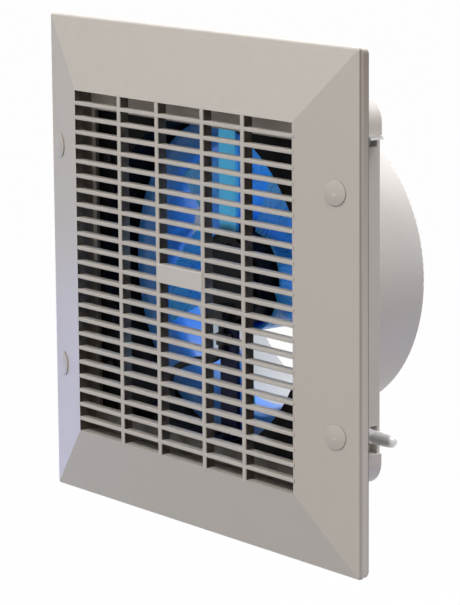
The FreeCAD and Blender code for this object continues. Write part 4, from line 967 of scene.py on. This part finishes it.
class PANELFAN_OT_springs(Operator):
    """Coil springs that fill the boxes of the latch springs' solids, in place of those solids"""
    bl_idname = "panel_fan.springs"
    bl_label = "Latch Springs"

    def execute(self, context):
        shape = context.scene.panel_fan_spring
        material = turned_steel("spring_steel", toned(context.scene.panel_fan_metal.steel, 0.5))
        for side, hand in (("right", 1.0), ("left", -1.0)):
            low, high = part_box("latch_spring_" + side)
            verts, faces = coil_mesh(low, high, shape, hand)
            piece = mesh_piece("spring_coil_" + side, verts, faces, material)
            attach(piece, "housing")
            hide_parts("latch_spring_" + side)
            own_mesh(piece)
        return {"FINISHED"}


class PANELFAN_OT_motor(Operator):
    """Paint on the motor, enamel on its strap with painted light and shade on its arms, bare steel on the
    shaft and zinc on the nut
    """
    bl_idname = "panel_fan.motor"
    bl_label = "Motor and Strap"

    def execute(self, context):
        look = context.scene.panel_fan_metal
        finish(strap_enamel(look), "motor_bracket")
        finish(black_paint("motor_paint", toned(look.paint, 0.8)), "motor_front_cap", "motor_can")
        finish(turned_steel("shaft_steel", look.steel), "motor_shaft")
        finish(zinc_plate("nut_zinc", look.zinc), "impeller_nut")
        return {"FINISHED"}


class PANELFAN_OT_windings(Operator):
    """Core, windings and bushes inside the motor"""
    bl_idname = "panel_fan.windings"
    bl_label = "Windings and Bushes"

    def execute(self, context):
        look = context.scene.panel_fan_metal
        finish(stacked_core("stator_sheets", look.core), "stator_core", "rotor_core")
        finish(wound_wire("winding_wire", look.copper), "stator_coils")
        finish(sintered_bush("bush_bronze", look.bronze), "front_bearing", "rear_bearing")
        return {"FINISHED"}


class PANELFAN_OT_fasteners(Operator):
    """Zinc plate for the outer screws and rivets, black oxide for the screws inside"""
    bl_idname = "panel_fan.fasteners"
    bl_label = "Screws and Rivets"

    def execute(self, context):
        look = context.scene.panel_fan_metal
        finish(zinc_plate("screw_zinc", look.zinc), "panel_screws", "spigot_screws", "terminal_screws",
               "hook_rivets")
        finish(black_oxide("screw_oxide", look.oxide), "chassis_screws", "ring_screws", "bracket_screws",
               "motor_screws", "cover_screw")
        return {"FINISHED"}


class PANELFAN_OT_latches(Operator):
    """Hook tabs, latch barrels and plungers on the sides of the tub"""
    bl_idname = "panel_fan.latches"
    bl_label = "Hooks and Latches"

    def execute(self, context):
        look = context.scene.panel_fan_metal
        finish(zinc_plate("hook_zinc", look.zinc), "hook_tabs", "latch_barrels")
        finish(turned_steel("plunger_steel", toned(look.steel, 0.9)),
               "latch_plunger_right", "latch_plunger_left")
        return {"FINISHED"}


class PANELFAN_OT_cabling(Operator):
    """Gland, motor lead and terminals"""
    bl_idname = "panel_fan.cabling"
    bl_label = "Cable Parts"

    def execute(self, context):
        trim = context.scene.panel_fan_trim
        finish(dark_fitting(trim), "cable_gland", "gland_nut", "lead_bush", "lead_clip", "lead_boot")
        finish(lead_sheath(trim), "motor_lead")
        finish(milky_block(trim), "terminal_block")
        return {"FINISHED"}


def studio_lamp(setup, name, place, colour, size, aim=(0.0, 0.0, 0.0)):
    """Lamp that stays out of the picture: soft where it has a width and height, else a narrow beam."""
    data = bpy.data.lights.new(name + "_lamp", "AREA" if size else "SPOT")
    data.energy = getattr(setup, name)
    data.color = colour
    if size:
        data.shape = "RECTANGLE"
        data.size, data.size_y = size
    else:
        data.spot_size = setup.beam
        data.spot_blend = BEAM_BLEND
        data.shadow_soft_size = BEAM_SOURCE
    lamp = new_object(name + "_lamp", data)
    lamp.location = place
    lamp.rotation_euler = (Vector(aim) - lamp.location).to_track_quat("-Z", "Y").to_euler()
    lamp.visible_camera = False


def studio_camera(setup):
    """Camera with its right, up and back directions worked out from the two angles and the lean."""
    a, e, r = setup.azimuth, setup.elevation, setup.roll
    back = Vector((math.sin(a) * math.cos(e), -math.cos(a) * math.cos(e), math.sin(e)))
    right = Vector((0.0, 0.0, 1.0)).cross(back).normalized()
    up = back.cross(right)
    across = right * math.cos(r) + up * math.sin(r)
    upward = up * math.cos(r) - right * math.sin(r)
    data = bpy.data.cameras.new("studio_camera")
    data.lens = setup.lens
    data.clip_start = CLIP_NEAR
    data.clip_end = CLIP_FAR
    camera = new_object("studio_camera", data)
    camera.matrix_world = Matrix((across, upward, back)).transposed().to_4x4()
    camera.location = Vector((0.0, cad_low.y, 0.0)) + Vector(setup.aim) + back * setup.distance
    bpy.context.scene.camera = camera


def studio_world(setup):
    """Soft light from all round, with a plain white background behind the part."""
    world = bpy.data.worlds.new("studio_world")
    g = Graph(world)
    seen = g.background_rays()
    level = seen + (1.0 - seen) * setup.ambient
    sky = g.node("ShaderNodeBackground", {}, {"Color": WHITE, "Strength": level})
    g.node("ShaderNodeOutputWorld", {}, {"Surface": sky})
    bpy.context.scene.world = world


def pale_floor(setup):
    """Pale floor well below the panel, as the part hangs on its wall."""
    z = cad_low.z - setup.floor_drop
    material = bpy.data.materials.new("studio_floor")
    g = Graph(material)
    matt = g.node("ShaderNodeBsdfDiffuse", {}, {"Color": setup.floor})
    white = g.node("ShaderNodeEmission", {}, {"Color": WHITE, "Strength": 1.0})
    shown = g.node("ShaderNodeMixShader", {}, {0: g.background_rays() * FLOOR_WHITE, 1: matt, 2: white})
    g.node("ShaderNodeOutputMaterial", {}, {"Surface": shown})
    near, far = -FLOOR_REACH, FLOOR_REACH
    verts = [(near, near, z), (far, near, z), (far, far, z), (near, far, z)]
    floor = mesh_piece("studio_floor", verts, [(0, 1, 2, 3)], material)


class PANELFAN_OT_stage(Operator):
    """Camera, lamps, white background and pale floor"""
    bl_idname = "panel_fan.stage"
    bl_label = "Studio"

    def execute(self, context):
        setup = context.scene.panel_fan_studio
        context.scene.view_settings.view_transform = "Standard"
        studio_camera(setup)
        studio_world(setup)
        pale_floor(setup)
        for name, row in LAMPS.items():
            studio_lamp(setup, name, *row)
        return {"FINISHED"}


class PANELFAN_PT_tools(Panel):
    """Sidebar panel with one button for each group of pieces"""
    bl_idname = "PANELFAN_PT_tools"
    bl_label = "Panel Fan"
    bl_space_type = "VIEW_3D"
    bl_region_type = "UI"
    bl_category = "Panel Fan"

    def draw(self, context):
        for operator in OPERATORS:
            self.layout.operator(operator.bl_idname)


LOOKS = {
    "panel_fan_shell": ShellLook,
    "panel_fan_air": AirPathLook,
    "panel_fan_metal": MetalLook,
    "panel_fan_trim": TrimLook,
    "panel_fan_impeller": ImpellerShape,
    "panel_fan_spring": SpringShape,
    "panel_fan_studio": StudioSetup,
}

OPERATORS = (
    PANELFAN_OT_front_panel,
    PANELFAN_OT_badge,
    PANELFAN_OT_screw_caps,
    PANELFAN_OT_housing,
    PANELFAN_OT_gasket,
    PANELFAN_OT_chassis,
    PANELFAN_OT_inlet_ring,
    PANELFAN_OT_impeller,
    PANELFAN_OT_motor,
    PANELFAN_OT_windings,
    PANELFAN_OT_fasteners,
    PANELFAN_OT_latches,
    PANELFAN_OT_springs,
    PANELFAN_OT_cabling,
    PANELFAN_OT_stage,
)


def register():
    for name, group in LOOKS.items():
        bpy.utils.register_class(group)
        setattr(bpy.types.Scene, name, PointerProperty(type=group))
    for cls in (*OPERATORS, PANELFAN_PT_tools):
        bpy.utils.register_class(cls)


def unregister():
    for cls in (PANELFAN_PT_tools, *reversed(OPERATORS)):
        bpy.utils.unregister_class(cls)
    for name, group in reversed(list(LOOKS.items())):
        delattr(bpy.types.Scene, name)
        bpy.utils.unregister_class(group)


def main():
    register()
    bpy.ops.panel_fan.front_panel()
    bpy.ops.panel_fan.badge()
    bpy.ops.panel_fan.screw_caps()
    bpy.ops.panel_fan.housing()
    bpy.ops.panel_fan.gasket()
    bpy.ops.panel_fan.chassis()
    bpy.ops.panel_fan.inlet_ring()
    bpy.ops.panel_fan.impeller()
    bpy.ops.panel_fan.motor()
    bpy.ops.panel_fan.windings()
    bpy.ops.panel_fan.fasteners()
    bpy.ops.panel_fan.latches()
    bpy.ops.panel_fan.springs()
    bpy.ops.panel_fan.cabling()
    bpy.ops.panel_fan.stage()


if __name__ == "__main__":
    main()
